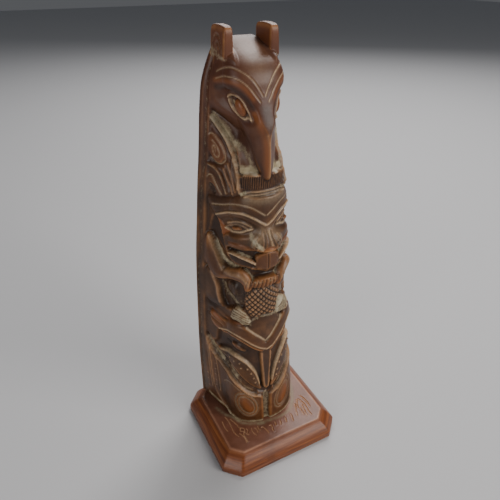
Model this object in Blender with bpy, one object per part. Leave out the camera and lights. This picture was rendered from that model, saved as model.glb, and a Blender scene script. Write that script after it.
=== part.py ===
"""Small carved totem pole on a flared plinth.

Two solids: the carved column with its ears, and the plinth it stands on.
Metres, +Z up. The plinth's underside is centred on the origin, the carved
front looks along -Y and the plain flat back along +Y.

The carving is drawn at its usual size and then fitted to the pole's named
sizes. A place on the carved side is (side, z): side is the way round the
column from the middle of the carving, and z is the height above the ground.
"""

import bpy
import bmesh
import numpy as np
from mathutils import Vector

MM = 0.001

# Driving dimensions in millimetres
POLE_HEIGHT = 192.4
POLE_FOOT_WIDTH = 49.4
POLE_FOOT_DEPTH = 36.3
BASE_HEIGHT = 9.8
BASE_SIDE_MARGIN = 3.5
BASE_FRONT_MARGIN = 12.4
BASE_FLARE = 6.0
BASE_LIP = 2.6
BASE_TOP_CORNER = 5.4
BASE_FOOT_CORNER = 7.7
BASE_UNDER_ROUND = 0.6
SEAT_GAP = 0.3

# Mesh density of the carved side
COLUMNS = 54
ROWS = 82
CURVE_STEPS = 6
MIDDLE_CLOSENESS = 0.8

# Column outline as drawn: height, half width at the back, depth from the back to the front,
# share of the width that the front takes, squareness of the front
STATIONS = (
    (9.8, 24.7, 36.3, 0.78, 2.2),
    (25.0, 24.9, 35.3, 0.785, 2.2),
    (40.0, 25.1, 34.3, 0.73, 2.2),
    (60.0, 24.8, 33.1, 0.68, 2.2),
    (100.0, 23.5, 31.1, 0.67, 2.2),
    (125.0, 21.6, 30.3, 0.655, 2.2),
    (140.0, 20.4, 29.7, 0.65, 2.2),
    (150.0, 19.4, 29.1, 0.63, 2.2),
    (160.0, 18.6, 28.5, 0.59, 2.2),
    (168.0, 18.0, 27.3, 0.54, 2.2),
    (174.0, 17.4, 25.3, 0.61, 2.2),
    (180.0, 16.6, 23.5, 0.74, 2.2),
    (184.0, 15.6, 22.6, 0.83, 2.3),
    (188.5, 13.9, 19.9, 0.86, 2.7),
    (192.0, 12.3, 15.3, 0.88, 2.8),
    (195.0, 10.6, 9.5, 0.90, 2.6),
    (196.6, 8.8, 5.3, 0.93, 2.4),
    (197.5, 6.6, 1.7, 0.93, 2.2),
)
SIDE_SHARE = 0.427
CROWN_PLAIN = (193.0, 196.0)

# Height and how far round the column the middle of the carving lies there
MIDDLES = ((9.8, -2.4), (50.0, -2.0), (74.0, -2.0), (84.0, -3.2), (92.0, -3.0), (98.0, -1.6),
           (104.0, -0.9), (113.0, -0.8), (124.0, -1.7), (134.0, -1.8), (142.0, -0.9), (150.0, -0.4))

# Height and how steeply the carving climbs there round the right side, from where and how far
RIGHT_CLIMBS = ((20.0, 0.0), (40.0, 0.42), (74.0, 0.42), (84.0, 0.35), (96.0, 0.15), (110.0, 0.08),
                (136.0, 0.16), (146.0, 0.0))
CLIMB_START = 3.0
CLIMB_REACH = 12.0

# Ear as drawn: height, outer side from the middle, front from the back
EAR_LEVELS = ((186.5, 9.8, 9.5), (191.4, 12.1, 13.5), (202.2, 11.8, 13.5))
EAR_INNER = 7.9
EAR_BACK = 0.5
EAR_ROUND = 1.4

# How soft a step in the carving is, and how deep the ground lies
EDGE = 1.9
GROUND = -1.9
DEEP = -4.0
SIDE_GROUND = -0.55
FRONT_GROUND = -1.1
STRIP = 3.4


def smooth(low, high, value):
    """0 below low, 1 above high and a soft S between them."""
    t = np.clip((value - low) / (high - low), 0.0, 1.0)
    return t * t * (3.0 - 2.0 * t)


def curve(points, closed=False):
    """Points along a smooth curve through the given ones."""
    p = np.array(points, dtype=float)
    if closed:
        p = np.vstack((p[-1], p, p[0], p[1]))
    else:
        p = np.vstack((2 * p[0] - p[1], p, 2 * p[-1] - p[-2]))
    lean = p[2:] - p[:-2]
    lean /= np.linalg.norm(lean, axis=1)[:, None]
    t = (np.arange(CURVE_STEPS) / CURVE_STEPS)[:, None]
    out = []
    for start, end, leave, arrive in zip(p[1:-2], p[2:-1], lean[:-1], lean[1:]):
        span = np.linalg.norm(end - start)
        out.append((2 * t ** 3 - 3 * t ** 2 + 1) * start + (t ** 3 - 2 * t ** 2 + t) * span * leave
                   + (3 * t ** 2 - 2 * t ** 3) * end + (t ** 3 - t ** 2) * span * arrive)
    out.append(p[1:2] if closed else p[-2:-1])
    return np.vstack(out)


OUTLINE = curve(STATIONS)


def reach(side, z, line):
    """Distance from every (side, z) to a line."""
    best = np.full(side.shape, np.inf)
    for (a0, z0), (a1, z1) in zip(line[:-1], line[1:]):
        da, dz = a1 - a0, z1 - z0
        t = np.clip(((side - a0) * da + (z - z0) * dz) / max(da * da + dz * dz, 1e-9), 0.0, 1.0)
        best = np.minimum(best, np.hypot(side - a0 - t * da, z - z0 - t * dz))
    return best


def depth_inside(side, z, outline):
    """Distance to a closed outline, more than zero inside it."""
    line = curve(outline, closed=True)
    within = np.zeros(side.shape, dtype=bool)
    for (a0, z0), (a1, z1) in zip(line[:-1], line[1:]):
        if z0 != z1:
            within ^= ((z0 > z) != (z1 > z)) & (side < a0 + (z - z0) * (a1 - a0) / (z1 - z0))
    return np.where(within, 1.0, -1.0) * reach(side, z, line)


def form(h, side, z, outline, top, crown=0.0, crown_reach=2.0):
    """Raise or sink an outlined area to its own level, with a pillow of crown height."""
    deep = depth_inside(side, z, outline)
    level = top - crown * np.exp(-np.maximum(deep, 0.0) / crown_reach)
    return h + (level - h) * smooth(-EDGE / 2, EDGE / 2, deep)


def swell(h, side, z, outline, height, low, high):
    """Add height inside an outline, rising from low to high millimetres in from its edge."""
    return h + height * smooth(low, high, depth_inside(side, z, outline))


def ridge(h, side, z, points, height, width):
    """Add a rounded ridge, or a groove with a height below zero."""
    away = reach(side, z, curve(points))
    return h + height * np.exp(-(away / width) ** 2)


def oval(middle, half, tilt, count=10):
    """An egg outline as a list of points."""
    turn = np.linspace(0.0, 2.0 * np.pi, count, endpoint=False)
    a, b = half[0] * np.cos(turn), half[1] * np.sin(turn)
    c, d = np.cos(np.radians(tilt)), np.sin(np.radians(tilt))
    return [(middle[0] + x * c - y * d, middle[1] + x * d + y * c) for x, y in zip(a, b)]


def carve_side_ground(side, half_way):
    """Plain side, a little lower than the strip along the back edge."""
    strip = smooth(0.0, 1.5, side - (half_way - STRIP))
    return (SIDE_GROUND + FRONT_GROUND * (1.0 - smooth(10.0, 28.0, side))) * (1.0 - strip)


def carve_bird(h, side, z):
    """Top figure: hooded brow, almond eyes, long beak, wings and breast."""
    edge = [(30.4, 169.2), (25.0, 163.6), (19.8, 156.4), (15.2, 148.0), (13.2, 140.2)]
    h = form(h, side, z, edge + [(20, 136.6), (29, 134.6), (35.6, 134.6), (34.8, 150), (33.4, 162)], -1.3)
    h = ridge(h, side, z, edge, 0.8, 0.8)
    h = form(h, side, z, oval((27.6, 155.6), (6.6, 4.6), 58), -0.5, 0.5)
    h = form(h, side, z, oval((27.2, 154.6), (3.4, 2.0), 58), -1.1)
    h = ridge(h, side, z, [(34.4, 148.4), (28.0, 147.0), (24.8, 143.8), (21.4, 137.6)], 1.1, 0.9)
    h = form(h, side, z, oval((29.2, 139.6), (6.2, 3.0), 42), -0.8, 0.4)
    for step in range(3):
        top = (23.6 - 2.4 * step, 147.6 + 2.5 * step)
        h = ridge(h, side, z, [top, (17.6 - 1.7 * step, 138.6 + 1.7 * step)], 0.9, 0.8)
    breast = [(-4, 149.0), (5.0, 148.8), (14.4, 147.6), (18.8, 155.8), (24.2, 164.0), (30.0, 169.8),
              (33.4, 171.8), (30, 174), (-4, 174)]
    h = form(h, side, z, breast, DEEP)
    beside_wing = np.exp(-(reach(side, z, curve(edge)) / 3.2) ** 2)
    h += 2.2 * smooth(0.0, 1.2, depth_inside(side, z, breast)) * beside_wing
    h = form(h, side, z, [(-4, 141.8), (5.0, 141.8), (12.4, 142.6), (13.4, 147.0), (10.0, 148.2),
                          (-4, 147.8)], -1.6, 0.4)
    h = form(h, side, z, [(-4, 139.4), (11.5, 139.6), (11.5, 141.9), (-4, 141.9)], GROUND)
    head = [(-4, 150.0), (-4, 146.4), (1.2, 146.4), (4.4, 148.6), (6.7, 154.8), (10.6, 161.2), (14.2, 163.4),
            (21.0, 166.4), (27.0, 169.8), (33.0, 172.6), (38, 174.5), (44, 180), (44, 204), (-4, 204)]
    deep = depth_inside(side, z, head)
    beak = 1.0 - smooth(164.0, 176.0, z)
    bridge = 3.6 * smooth(162.0, 173.0, z)
    roof = 4.4 * (1.0 - np.exp(-0.24 * np.maximum(side - bridge, 0.0))) * beak
    level = beak - roof - 1.1 * np.exp(-np.maximum(deep, 0.0) / 1.6)
    h += (level - h) * smooth(-EDGE / 2, EDGE / 2, deep)
    socket = [(2.8, 171.4), (7.0, 179.2), (10.4, 181.2), (15.0, 181.8), (20.6, 181.2), (24.0, 178.8),
              (24.0, 174.6), (20.0, 170.4), (14.0, 167.8), (8.4, 167.0), (4.6, 168.0)]
    h = swell(h, side, z, socket, -2.2, -0.3, 4.4)
    eye = [(17.9, 176.6), (14.0, 178.5), (11.3, 178.2), (9.2, 176.6), (6.9, 170.2), (13.2, 170.2),
           (17.5, 173.6)]
    h = swell(h, side, z, eye, 1.0, -0.8, 1.2)
    h += 0.8 * smooth(0.0, 2.4, 3.3 - np.hypot(side - 11.8, z - 173.8))
    temple = [(8.0, 189.0), (12.0, 190.0), (18.0, 189.4), (28.0, 186.0), (28.0, 189.0), (22.0, 192.5),
              (14.0, 195.0), (7.0, 195.6)]
    return swell(h, side, z, temple, 0.9, 0.0, 1.8)


def carve_beaver_ground(h, side, z):
    """Sunk parts round the middle figure's head and arms."""
    h = form(h, side, z, [(-4, 140.2), (10.6, 140.2), (18.5, 137.4), (28, 135.3), (34.4, 135.4), (36, 118),
                          (39, 110), (39.4, 74), (-4, 74)], GROUND)
    h = form(h, side, z, [(24.6, 126), (28, 127), (32.6, 118), (32.6, 113), (25.2, 104.4), (22, 103),
                          (22, 112)], -2.9)
    h = form(h, side, z, [(26.4, 95.4), (19.0, 96.6), (13.0, 96.4), (10.4, 93.0), (10.4, 82.0), (17.4, 81.4),
                          (22.6, 77.6), (25.4, 79.0), (26.6, 88.0)], DEEP)
    h = swell(h, side, z, [(23, 94), (17, 95), (13, 91), (15, 86), (20, 84.6), (24, 88)], 1.5, 0.0, 3.5)
    return form(h, side, z, [(-4, 106.0), (12.0, 106.0), (25.0, 108.0), (31.0, 113.6), (33.8, 113.0),
                             (26.0, 101.6), (18.0, 101.0), (10.0, 101.0), (7.0, 98.0), (-4, 97.6)], DEEP)


def carve_beaver(h, side, z):
    """Middle figure: broad face, front teeth, folded arms, scaly tail and striped feet."""
    h = carve_beaver_ground(h, side, z)
    face = [(-4, 139.8), (10.6, 139.8), (18.5, 137.1), (28.0, 134.8), (32.0, 134.4), (32.8, 131.0),
            (27.4, 124.0), (26.0, 120.0), (24.0, 111.4), (22.0, 107.0), (17.0, 105.6), (6.4, 103.9),
            (-4, 103.4)]
    h = form(h, side, z, face, -0.3, 1.0, 1.6)
    socket = [(2.6, 124.4), (5.0, 127.6), (8.6, 129.6), (13.0, 130.2), (18.4, 129.0), (26.8, 124.4),
              (25.6, 120.4), (20.6, 118.6), (12.6, 119.4), (6.0, 120.8)]
    h = swell(h, side, z, socket, -1.6, -0.2, 2.6)
    h = form(h, side, z, [(27.4, 124.4), (25.6, 121.0), (25.6, 116.8), (20.4, 120.6)], -1.6)
    eye = [(22.8, 121.2), (18.2, 124.6), (13.4, 126.2), (8.0, 124.2), (12.0, 122.2), (19.6, 120.8)]
    h = swell(h, side, z, eye, 0.9, -0.6, 1.4)
    h = ridge(h, side, z, [(0.3, 126.4), (4.5, 129.3), (10.4, 131.6), (17.0, 130.5), (27.6, 126.2)], 0.6, 0.9)
    muzzle = [(-4, 125.0), (1.8, 124.6), (6.6, 120.4), (8.2, 117.6), (6.6, 114.8), (3.0, 114.0), (-4, 113.8)]
    snout = 0.2 + 2.6 * smooth(124.5, 116.5, z) * np.exp(-(side / 6.6) ** 4)
    h += (snout - h) * smooth(-EDGE / 2, EDGE / 2, depth_inside(side, z, muzzle))
    h = form(h, side, z, [(-4, 117.0), (1.2, 117.0), (2.8, 115.2), (2.0, 113.4), (-4, 113.2)], 2.9, 1.0, 1.0)
    h = form(h, side, z, [(-4, 113.6), (4.8, 113.8), (5.0, 111.8), (-4, 111.8)], GROUND)
    h = form(h, side, z, [(4.6, 113.4), (12.0, 114.0), (18.4, 113.6), (22.4, 111.6), (14.0, 108.4),
                          (5.8, 105.0)], -2.4)
    h = ridge(h, side, z, [(4.6, 114.0), (12.0, 115.9), (21.2, 115.0)], 0.8, 1.1)
    h = ridge(h, side, z, [(20.4, 110.2), (13.4, 110.4), (6.2, 107.4)], 1.9, 0.9)
    h = form(h, side, z, [(-4, 111.9), (5.4, 111.9), (5.8, 108.0), (5.2, 105.0), (-4, 104.4)], 0.3, 0.7, 0.9)
    thigh = [(34.6, 97.0), (31.0, 94.4), (28.4, 91.4), (26.4, 84.0), (25.0, 77.2), (31.0, 76.8), (36.0, 78.0),
             (38.0, 84.0), (37.6, 92.0)]
    h = form(h, side, z, thigh, -0.6, 0.8, 1.6)
    arm = [(33.4, 115.6), (37.2, 107.0), (37.2, 101.5), (31.5, 94.6), (28.0, 92.8), (18.5, 96.4),
           (14.0, 97.1), (9.6, 92.8), (7.4, 91.8), (6.0, 93.4), (7.8, 99.8), (14.0, 103.8), (24.6, 99.6),
           (28.6, 105.4)]
    h = form(h, side, z, arm, 0.5, 1.9, 1.6)
    tail = [(-4, 94.6), (2.4, 94.4), (6.6, 93.2), (9.4, 90.4), (10.0, 86.2), (9.0, 81.0), (6.4, 77.6),
            (-4, 76.8)]
    h = form(h, side, z, tail, -0.3, 1.6, 2.4)
    h = form(h, side, z, [(-4, 99.0), (5.2, 99.0), (6.8, 97.0), (6.2, 94.8), (-4, 95.0)], 0.1, 0.9, 1.0)
    foot = [(16.6, 82.2), (12.0, 83.0), (8.0, 79.6), (7.6, 74.6), (10.4, 73.2), (15.6, 74.6), (19.6, 76.6)]
    h = form(h, side, z, foot, -0.1, 1.4, 1.6)
    return ridge(h, side, z, [(30.0, 73.6), (25.0, 71.8), (20.0, 71.9), (12.4, 73.4)], 0.9, 0.9)


def carve_lower_bird(h, side, z):
    """Lower figure: V brow band, narrow eyes, beak, spotted leaves and two ovals at the foot."""
    h = form(h, side, z, [(-4, 78.2), (4.6, 77.6), (10.2, 71.4), (18.0, 71.0), (38.0, 73.0), (39.2, 54.0),
                          (27.0, 47.0), (12.0, 35.8), (4.0, 30.0), (-4, 29.0)], -2.9)
    h = form(h, side, z, [(38.0, 74.6), (26.0, 72.6), (24.0, 69.6), (29.6, 61.4), (31.6, 54.0),
                          (38.4, 52.0)], -1.3)
    h = form(h, side, z, [(-4, 78.4), (2.0, 78.4), (7.8, 75.0), (9.4, 71.6), (0.8, 63.2), (-4, 63.0)],
             -0.6, 0.9, 2.6)
    band = [(33.6, 72.0), (26.0, 70.8), (14.4, 72.6), (10.6, 72.0), (0.0, 62.6), (-4, 62.2), (-4, 56.4),
            (2.0, 56.6), (7.6, 59.6), (11.0, 61.8), (16.0, 63.6), (27.4, 62.4), (33.4, 65.0)]
    h = form(h, side, z, band, 0.2, 0.9, 1.3)
    h = swell(h, side, z, oval((16.4, 57.8), (6.0, 1.8), 8), 1.2, -0.4, 1.4)
    h = form(h, side, z, [(-4, 57.0), (2.6, 56.8), (2.7, 50.0), (1.4, 33.0), (-4, 31.6)], -0.7)
    leaf = [(31.0, 50.2), (24.6, 51.4), (17.4, 52.6), (13.4, 51.4), (7.9, 46.9), (4.5, 39.8), (2.8, 32.2),
            (10.6, 37.2), (17.6, 43.8), (27.6, 48.2)]
    h = form(h, side, z, leaf, -0.8, 0.3, 0.8)
    h = ridge(h, side, z, leaf[1:6], 0.6, 0.7)
    line = [(38.4, 53.0), (34.6, 44.6), (26.0, 39.6), (18.0, 35.9), (11.4, 31.2), (3.4, 27.6)]
    h = form(h, side, z, line + [(-4, 27.0), (-4, 4.0), (40.6, 4.0), (40.6, 40.0)], -0.6, 0.2)
    h = ridge(h, side, z, line, 0.75, 0.8)
    h = swell(h, side, z, oval((11.2, 22.1), (5.9, 3.6), 62), 0.5, 0.0, 2.2)
    h = form(h, side, z, [(-4, 29.4), (0.8, 29.0), (1.8, 27.2), (1.6, 4.0), (-4, 4.0)], -2.2)
    return ridge(h, side, z, [(37.4, 47.0), (36.2, 30.0), (31.6, 16.4), (22.0, 11.0)], 0.6, 0.7)


def relief(s, z, half_way):
    """How far the carved surface stands off the column's outline, at s round the column."""
    heights, middles = np.array(MIDDLES).T
    way = s - np.interp(z, heights, middles)
    side = np.abs(way)
    heights, climbs = np.array(RIGHT_CLIMBS).T
    drawn = z - np.interp(z, heights, climbs) * np.clip(way - CLIMB_START, 0.0, CLIMB_REACH)
    ground = carve_side_ground(side, half_way)
    h = ground.copy()
    for carve, low, high in ((carve_beaver, 70.0, 144.0), (carve_lower_bird, 0.0, 82.0),
                             (carve_bird, 130.0, 210.0)):
        here = (z > low) & (z < high)
        h[here] = carve(h[here], side[here], drawn[here])
    carved = smooth(0.0, 2.0, half_way - STRIP - 1.0 - np.abs(s))
    return (ground + (h - ground) * carved) * (1.0 - smooth(*CROWN_PLAIN, z))


def section(z):
    """Half of the column's outline at one height with its arc length, from the front to the back."""
    width, depth, share, square = (np.interp(z, OUTLINE[:, 0], OUTLINE[:, k]) for k in (1, 2, 3, 4))
    turn = np.linspace(0.0, np.pi / 2, 60)
    rounded = SIDE_SHARE * depth
    x = share * width * np.sin(turn) ** (2 / square)
    y = rounded - depth - rounded * np.cos(turn) ** (2 / square)
    x = np.append(x, np.linspace(x[-1], width, 30)[1:])
    y = np.append(y, np.linspace(y[-1], 0.0, 30)[1:])
    way = np.append(0.0, np.cumsum(np.hypot(np.diff(x), np.diff(y))))
    return way, x, y


def column_points():
    """Grid of carved surface points as drawn, row by row from the foot up, the back at y 0."""
    climb = np.append(0.0, np.cumsum(np.hypot(np.diff(OUTLINE[:, 0]), np.diff(OUTLINE[:, 2]))))
    spread = np.linspace(-1.0, 1.0, COLUMNS)
    share = spread * (MIDDLE_CLOSENESS + (1.0 - MIDDLE_CLOSENESS) * spread ** 2)
    places, arcs, half_ways = [], [], []
    for z in np.interp(np.linspace(0.0, climb[-1], ROWS), climb, OUTLINE[:, 0]):
        way, x, y = section(z)
        s = share * way[-1]
        places.append(np.column_stack((np.interp(np.abs(s), way, x) * np.sign(s),
                                       np.interp(np.abs(s), way, y), np.full(s.shape, z))))
        arcs.append(s)
        half_ways.append(np.full(s.shape, way[-1]))
    places = np.array(places)
    outward = np.cross(np.gradient(places, axis=1), np.gradient(places, axis=0))
    outward /= np.linalg.norm(outward, axis=2)[..., None]
    h = relief(np.array(arcs), places[..., 2], np.array(half_ways))
    h[:, 0] = h[:, -1] = 0.0
    points = places + outward * h[..., None]
    points[..., 1] = np.minimum(points[..., 1], 0.0)
    points[0, :, 2] = places[0, :, 2]
    return points


def placed(point):
    """A drawn place to metres on the finished object."""
    foot, half_width, depth = STATIONS[0][:3]
    across = POLE_FOOT_WIDTH / (2 * half_width)
    tall = POLE_HEIGHT / (EAR_LEVELS[-1][0] - foot)
    return Vector((point[0] * across, base_top_depth() / 2 + point[1] * POLE_FOOT_DEPTH / depth,
                   BASE_HEIGHT + SEAT_GAP + (point[2] - foot) * tall)) * MM


def base_top_width():
    return POLE_FOOT_WIDTH + 2 * BASE_SIDE_MARGIN


def base_top_depth():
    return POLE_FOOT_DEPTH + BASE_FRONT_MARGIN


def finish(name, bm, material, smooth_angle):
    """Turn a bmesh into a named object with its material."""
    bmesh.ops.recalc_face_normals(bm, faces=bm.faces)
    mesh = bpy.data.meshes.new(name)
    bm.to_mesh(mesh)
    bm.free()
    mesh.materials.append(material)
    mesh.shade_smooth()
    mesh.set_sharp_from_angle(angle=smooth_angle)
    thing = bpy.data.objects.new(name, mesh)
    bpy.context.scene.collection.objects.link(thing)
    return thing


def paint(name, colour, roughness):
    """Plain Principled material."""
    material = bpy.data.materials.new(name)
    material.use_nodes = True
    shader = material.node_tree.nodes["Principled BSDF"]
    shader.inputs["Base Color"].default_value = (*colour, 1.0)
    shader.inputs["Roughness"].default_value = roughness
    shader.inputs["Metallic"].default_value = 0.0
    material.diffuse_color = (*colour, 1.0)
    return material


def make_column(material):
    """Carved column: one skin round the front, one flat back, closed at foot and top."""
    grid = column_points()
    bm = bmesh.new()
    rows = [[bm.verts.new(placed(p)) for p in row] for row in grid]
    for low, high in zip(rows[:-1], rows[1:]):
        for a, b, c, d in zip(low[:-1], low[1:], high[1:], high[:-1]):
            bm.faces.new((a, b, c, d))
        bm.faces.new((low[0], high[0], high[-1], low[-1]))
    bm.faces.new(rows[0][::-1])
    bm.faces.new(rows[-1])
    bmesh.ops.triangulate(bm, faces=bm.faces)
    return finish("pole", bm, material, np.radians(40))


def make_ear(side, material):
    """Upright ear block with a rounded crown, drawn in at its buried foot."""
    bm = bmesh.new()
    rings = []
    for z, outer, front in EAR_LEVELS:
        corners = ((EAR_INNER, -front), (outer, -front), (outer, -EAR_BACK), (EAR_INNER, -EAR_BACK))
        rings.append([bm.verts.new(placed((side * x, y, z))) for x, y in corners])
    for low, high in zip(rings[:-1], rings[1:]):
        for n in range(4):
            bm.faces.new((low[n], low[(n + 1) % 4], high[(n + 1) % 4], high[n]))
    bm.faces.new(rings[0])
    crown = bm.faces.new(rings[-1])
    front_edges = [bm.edges.get((rings[1][n], rings[2][n])) for n in (0, 1)]
    bmesh.ops.bevel(bm, geom=list(crown.edges) + front_edges, offset=EAR_ROUND * MM, segments=2, profile=0.5,
                    affect="EDGES")
    ear = finish("ear_left" if side < 0 else "ear_right", bm, material, np.radians(40))
    ear.hide_render = True
    ear.display_type = "WIRE"
    return ear


def octagon(half_width, half_depth, corner):
    """Rectangle with its corners cut off, anticlockwise."""
    return [(half_width, -half_depth + corner), (half_width, half_depth - corner),
            (half_width - corner, half_depth), (-half_width + corner, half_depth),
            (-half_width, half_depth - corner), (-half_width, -half_depth + corner),
            (-half_width + corner, -half_depth), (half_width - corner, -half_depth)]


def make_base(material):
    """Flared plinth with cut corners and a short upright lip at its foot."""
    half_width, half_depth = base_top_width() / 2, base_top_depth() / 2
    lip_spread = BASE_FLARE * 0.93
    levels = (
        (0.0, BASE_FLARE - BASE_UNDER_ROUND, BASE_FOOT_CORNER),
        (BASE_UNDER_ROUND, BASE_FLARE, BASE_FOOT_CORNER),
        (BASE_LIP + BASE_UNDER_ROUND, lip_spread, BASE_FOOT_CORNER),
        (BASE_HEIGHT - BASE_UNDER_ROUND / 2, BASE_UNDER_ROUND / 2, BASE_TOP_CORNER),
        (BASE_HEIGHT, 0.0, BASE_TOP_CORNER),
    )
    bm = bmesh.new()
    rings = []
    for z, spread, corner in levels:
        outline = octagon(half_width + spread, half_depth + spread, corner)
        rings.append([bm.verts.new(Vector((x, y, z)) * MM) for x, y in outline])
    for low, high in zip(rings[:-1], rings[1:]):
        for n in range(8):
            bm.faces.new((low[n], low[(n + 1) % 8], high[(n + 1) % 8], high[n]))
    bm.faces.new(rings[0][::-1])
    bm.faces.new(rings[-1])
    return finish("base", bm, material, np.radians(25))


def main():
    for old in list(bpy.data.objects):
        bpy.data.objects.remove(old, do_unlink=True)
    carved = paint("patinated_carving", (0.115, 0.042, 0.020), 0.38)
    plinth = paint("worn_plinth", (0.235, 0.078, 0.030), 0.36)
    column = make_column(carved)
    for side in (-1, 1):
        ear = make_ear(side, carved)
        union = column.modifiers.new("ear", "BOOLEAN")
        union.operation = "UNION"
        union.object = ear
    make_base(plinth)


main()
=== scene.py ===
"""Looks of the small carved totem pole: fine carving, patina, plinth and studio.

The carving is drawn in millimetres. A place on the carved side is (a, z): a is
the way round the column from the middle of the front and z is the height above
the ground. Left and right are alike, but for a climb round the right side, the
right foot and a few marks on one side only.
"""

import math
import bpy
import numpy as np
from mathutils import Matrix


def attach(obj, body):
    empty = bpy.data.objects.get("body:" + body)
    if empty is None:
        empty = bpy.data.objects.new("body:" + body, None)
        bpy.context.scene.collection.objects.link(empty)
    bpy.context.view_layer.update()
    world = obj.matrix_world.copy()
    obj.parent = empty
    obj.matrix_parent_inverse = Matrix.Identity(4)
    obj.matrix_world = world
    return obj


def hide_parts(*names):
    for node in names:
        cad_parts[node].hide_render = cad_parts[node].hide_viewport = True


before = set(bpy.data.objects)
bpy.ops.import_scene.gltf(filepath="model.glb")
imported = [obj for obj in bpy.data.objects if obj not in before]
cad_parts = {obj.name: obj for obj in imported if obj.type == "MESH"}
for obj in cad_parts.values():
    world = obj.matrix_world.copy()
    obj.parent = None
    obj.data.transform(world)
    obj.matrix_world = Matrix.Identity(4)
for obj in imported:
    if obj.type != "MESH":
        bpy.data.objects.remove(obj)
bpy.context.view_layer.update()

MM = 0.001

# Column outline: height, half width at the back, front's place, share of the width at
# the front, squareness of the front
STATIONS = np.array((
    (9.8, 24.7, -12.0, 0.78, 2.2),
    (25.0, 24.9, -11.0, 0.785, 2.2),
    (40.0, 25.1, -10.0, 0.73, 2.2),
    (60.0, 24.8, -8.8, 0.68, 2.2),
    (100.0, 23.5, -6.8, 0.67, 2.2),
    (125.0, 21.6, -6.0, 0.655, 2.2),
    (140.0, 20.4, -5.4, 0.65, 2.2),
    (150.0, 19.4, -4.8, 0.63, 2.2),
    (160.0, 18.6, -4.2, 0.59, 2.2),
    (168.0, 18.0, -3.0, 0.54, 2.2),
    (174.0, 17.4, -1.0, 0.61, 2.2),
    (180.0, 16.6, 0.8, 0.74, 2.2),
    (184.0, 15.6, 1.7, 0.83, 2.3),
    (188.5, 13.9, 4.4, 0.86, 2.7),
    (192.0, 12.3, 9.0, 0.88, 2.8),
    (195.0, 10.6, 14.8, 0.90, 2.6),
    (196.6, 8.8, 19.0, 0.93, 2.4),
    (197.5, 6.6, 22.6, 0.93, 2.2),
))

# Back plane, depth at the foot, depth of the rounded front there, and heights where the carving fades out
BACK = 24.3
FOOT_DEPTH = 36.3
SIDE_START = 15.5
CROWN_PLAIN = (193.0, 196.0)

# Where the middle of the carving lies round the column, by height
MIDDLES = np.array(((9.8, -2.4), (50.0, -2.0), (74.0, -2.0), (84.0, -3.2), (92.0, -3.0), (98.0, -1.6),
                    (104.0, -0.9), (113.0, -0.8), (124.0, -1.7), (134.0, -1.8), (142.0, -0.9), (150.0, -0.4),
                    (197.5, -0.2)))

# How steeply the carving climbs round the right side, by height; where the climb starts and its reach
RIGHT_CLIMBS = np.array(((20.0, 0.0), (40.0, 0.42), (74.0, 0.42), (84.0, 0.35), (96.0, 0.15), (110.0, 0.08),
                         (136.0, 0.16), (146.0, 0.0)))
CLIMB_START, CLIMB_REACH = 3.0, 12.0

# Pitch of the tail's scales
SCALE_PITCH = 2.8

# Mesh density: columns and rows, and the share of the columns that the finely carved part takes
FRONT_COLUMNS = 206
ROWS = 450
SEEN_SHARE, SEEN_COLUMNS = 0.74, 0.84

# Ears, in millimetres
EAR_INNER, EAR_OUTER_TOP, EAR_OUTER_FOOT = 7.9, 11.7, 12.6
EAR_FRONT, EAR_BACK = 10.8, 23.8
EAR_FOOT, EAR_TOP = 184.0, 202.3

# Plinth, in millimetres
BASE_HEIGHT, BASE_LIP = 9.8, 3.2
BASE_TOP_HALF, BASE_FOOT_HALF = (28.2, 24.35), (34.2, 30.35)
BASE_TOP_CORNER, BASE_FOOT_CORNER = 5.4, 7.7
BASE_TOP_BAND = 16.0
BASE_COLUMNS, BASE_CORNER_EASE = 520, 3

# Roots and grass scratched into the plinth's top
SCRATCHES = (
    [(-22, 0), (-21.5, -3), (-21.6, -7), (-21.9, -10), (-21.7, -12), (-21.2, -13.5), (-20.7, -14.5)],
    [(-20, -2.5), (-19.2, -5), (-18.5, -7.5), (-17.8, -10), (-16.5, -10.8), (-16.2, -12), (-16.8, -13.5),
     (-16.3, -15), (-15.6, -16)],
    [(-17.8, -10.3), (-18.4, -12), (-17.2, -13), (-17.9, -14.8), (-18, -17), (-17.9, -19.5)],
    [(-19.6, -13), (-18.8, -15), (-18.4, -17), (-18.6, -19.8)],
    [(-15.2, -12), (-14.8, -13.2), (-15.6, -14.5)],
    [(-11, -13.5), (-10.4, -15), (-10.6, -17)],
    [(-7.6, -15), (-6.8, -15), (-6.2, -16.4), (-5.8, -18), (-5.6, -19.8)],
    [(-3.2, -15.8), (-2.2, -16), (-2.3, -17.5), (-2.8, -18.5), (-2.8, -19.6)],
    [(3.6, -15.8), (3.2, -17), (2.6, -18)],
    [(7, -15.3), (6.6, -16.8), (6.1, -18)],
    [(19.5, -7.5), (20.5, -8), (21, -10), (21.4, -12.5), (21.2, -15), (20.8, -17.5), (21, -20)],
    [(19.3, -7.8), (18.2, -9.5), (17.2, -11.5), (17, -13)],
    [(20, -12), (19.4, -14), (19, -16), (18.5, -19.5)],
    [(17.8, -13.5), (17.4, -15.5), (17.2, -18)],
    [(16.6, -9.5), (15.8, -11.5), (14.8, -14), (13.6, -17)],
    [(-12.6, -13), (-12.9, -15.5), (-12.2, -18)],
    [(-9.0, -13.4), (-9.2, -15), (-8.8, -16.2)],
    [(0.6, -15.2), (0.2, -17)],
    [(11, -14.6), (10.4, -17), (9.8, -19)],
    [(22.6, -6), (23.4, -9), (23.6, -12), (23.2, -15)],
    [(-24.6, -2), (-24.9, -6), (-24.6, -9)],
)

# How soft the edge of a carved area is, and the steps between two points of a smooth curve
EDGE = 0.8
CURVE_STEPS = 8

# Samples along the front and the side of a section, and how carving fades beside the plain back strip
FRONT_SAMPLES, SIDE_SAMPLES = 90, 40
STRIP_WIDTH, STRIP_FADE = 4.4, 1.2

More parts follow.
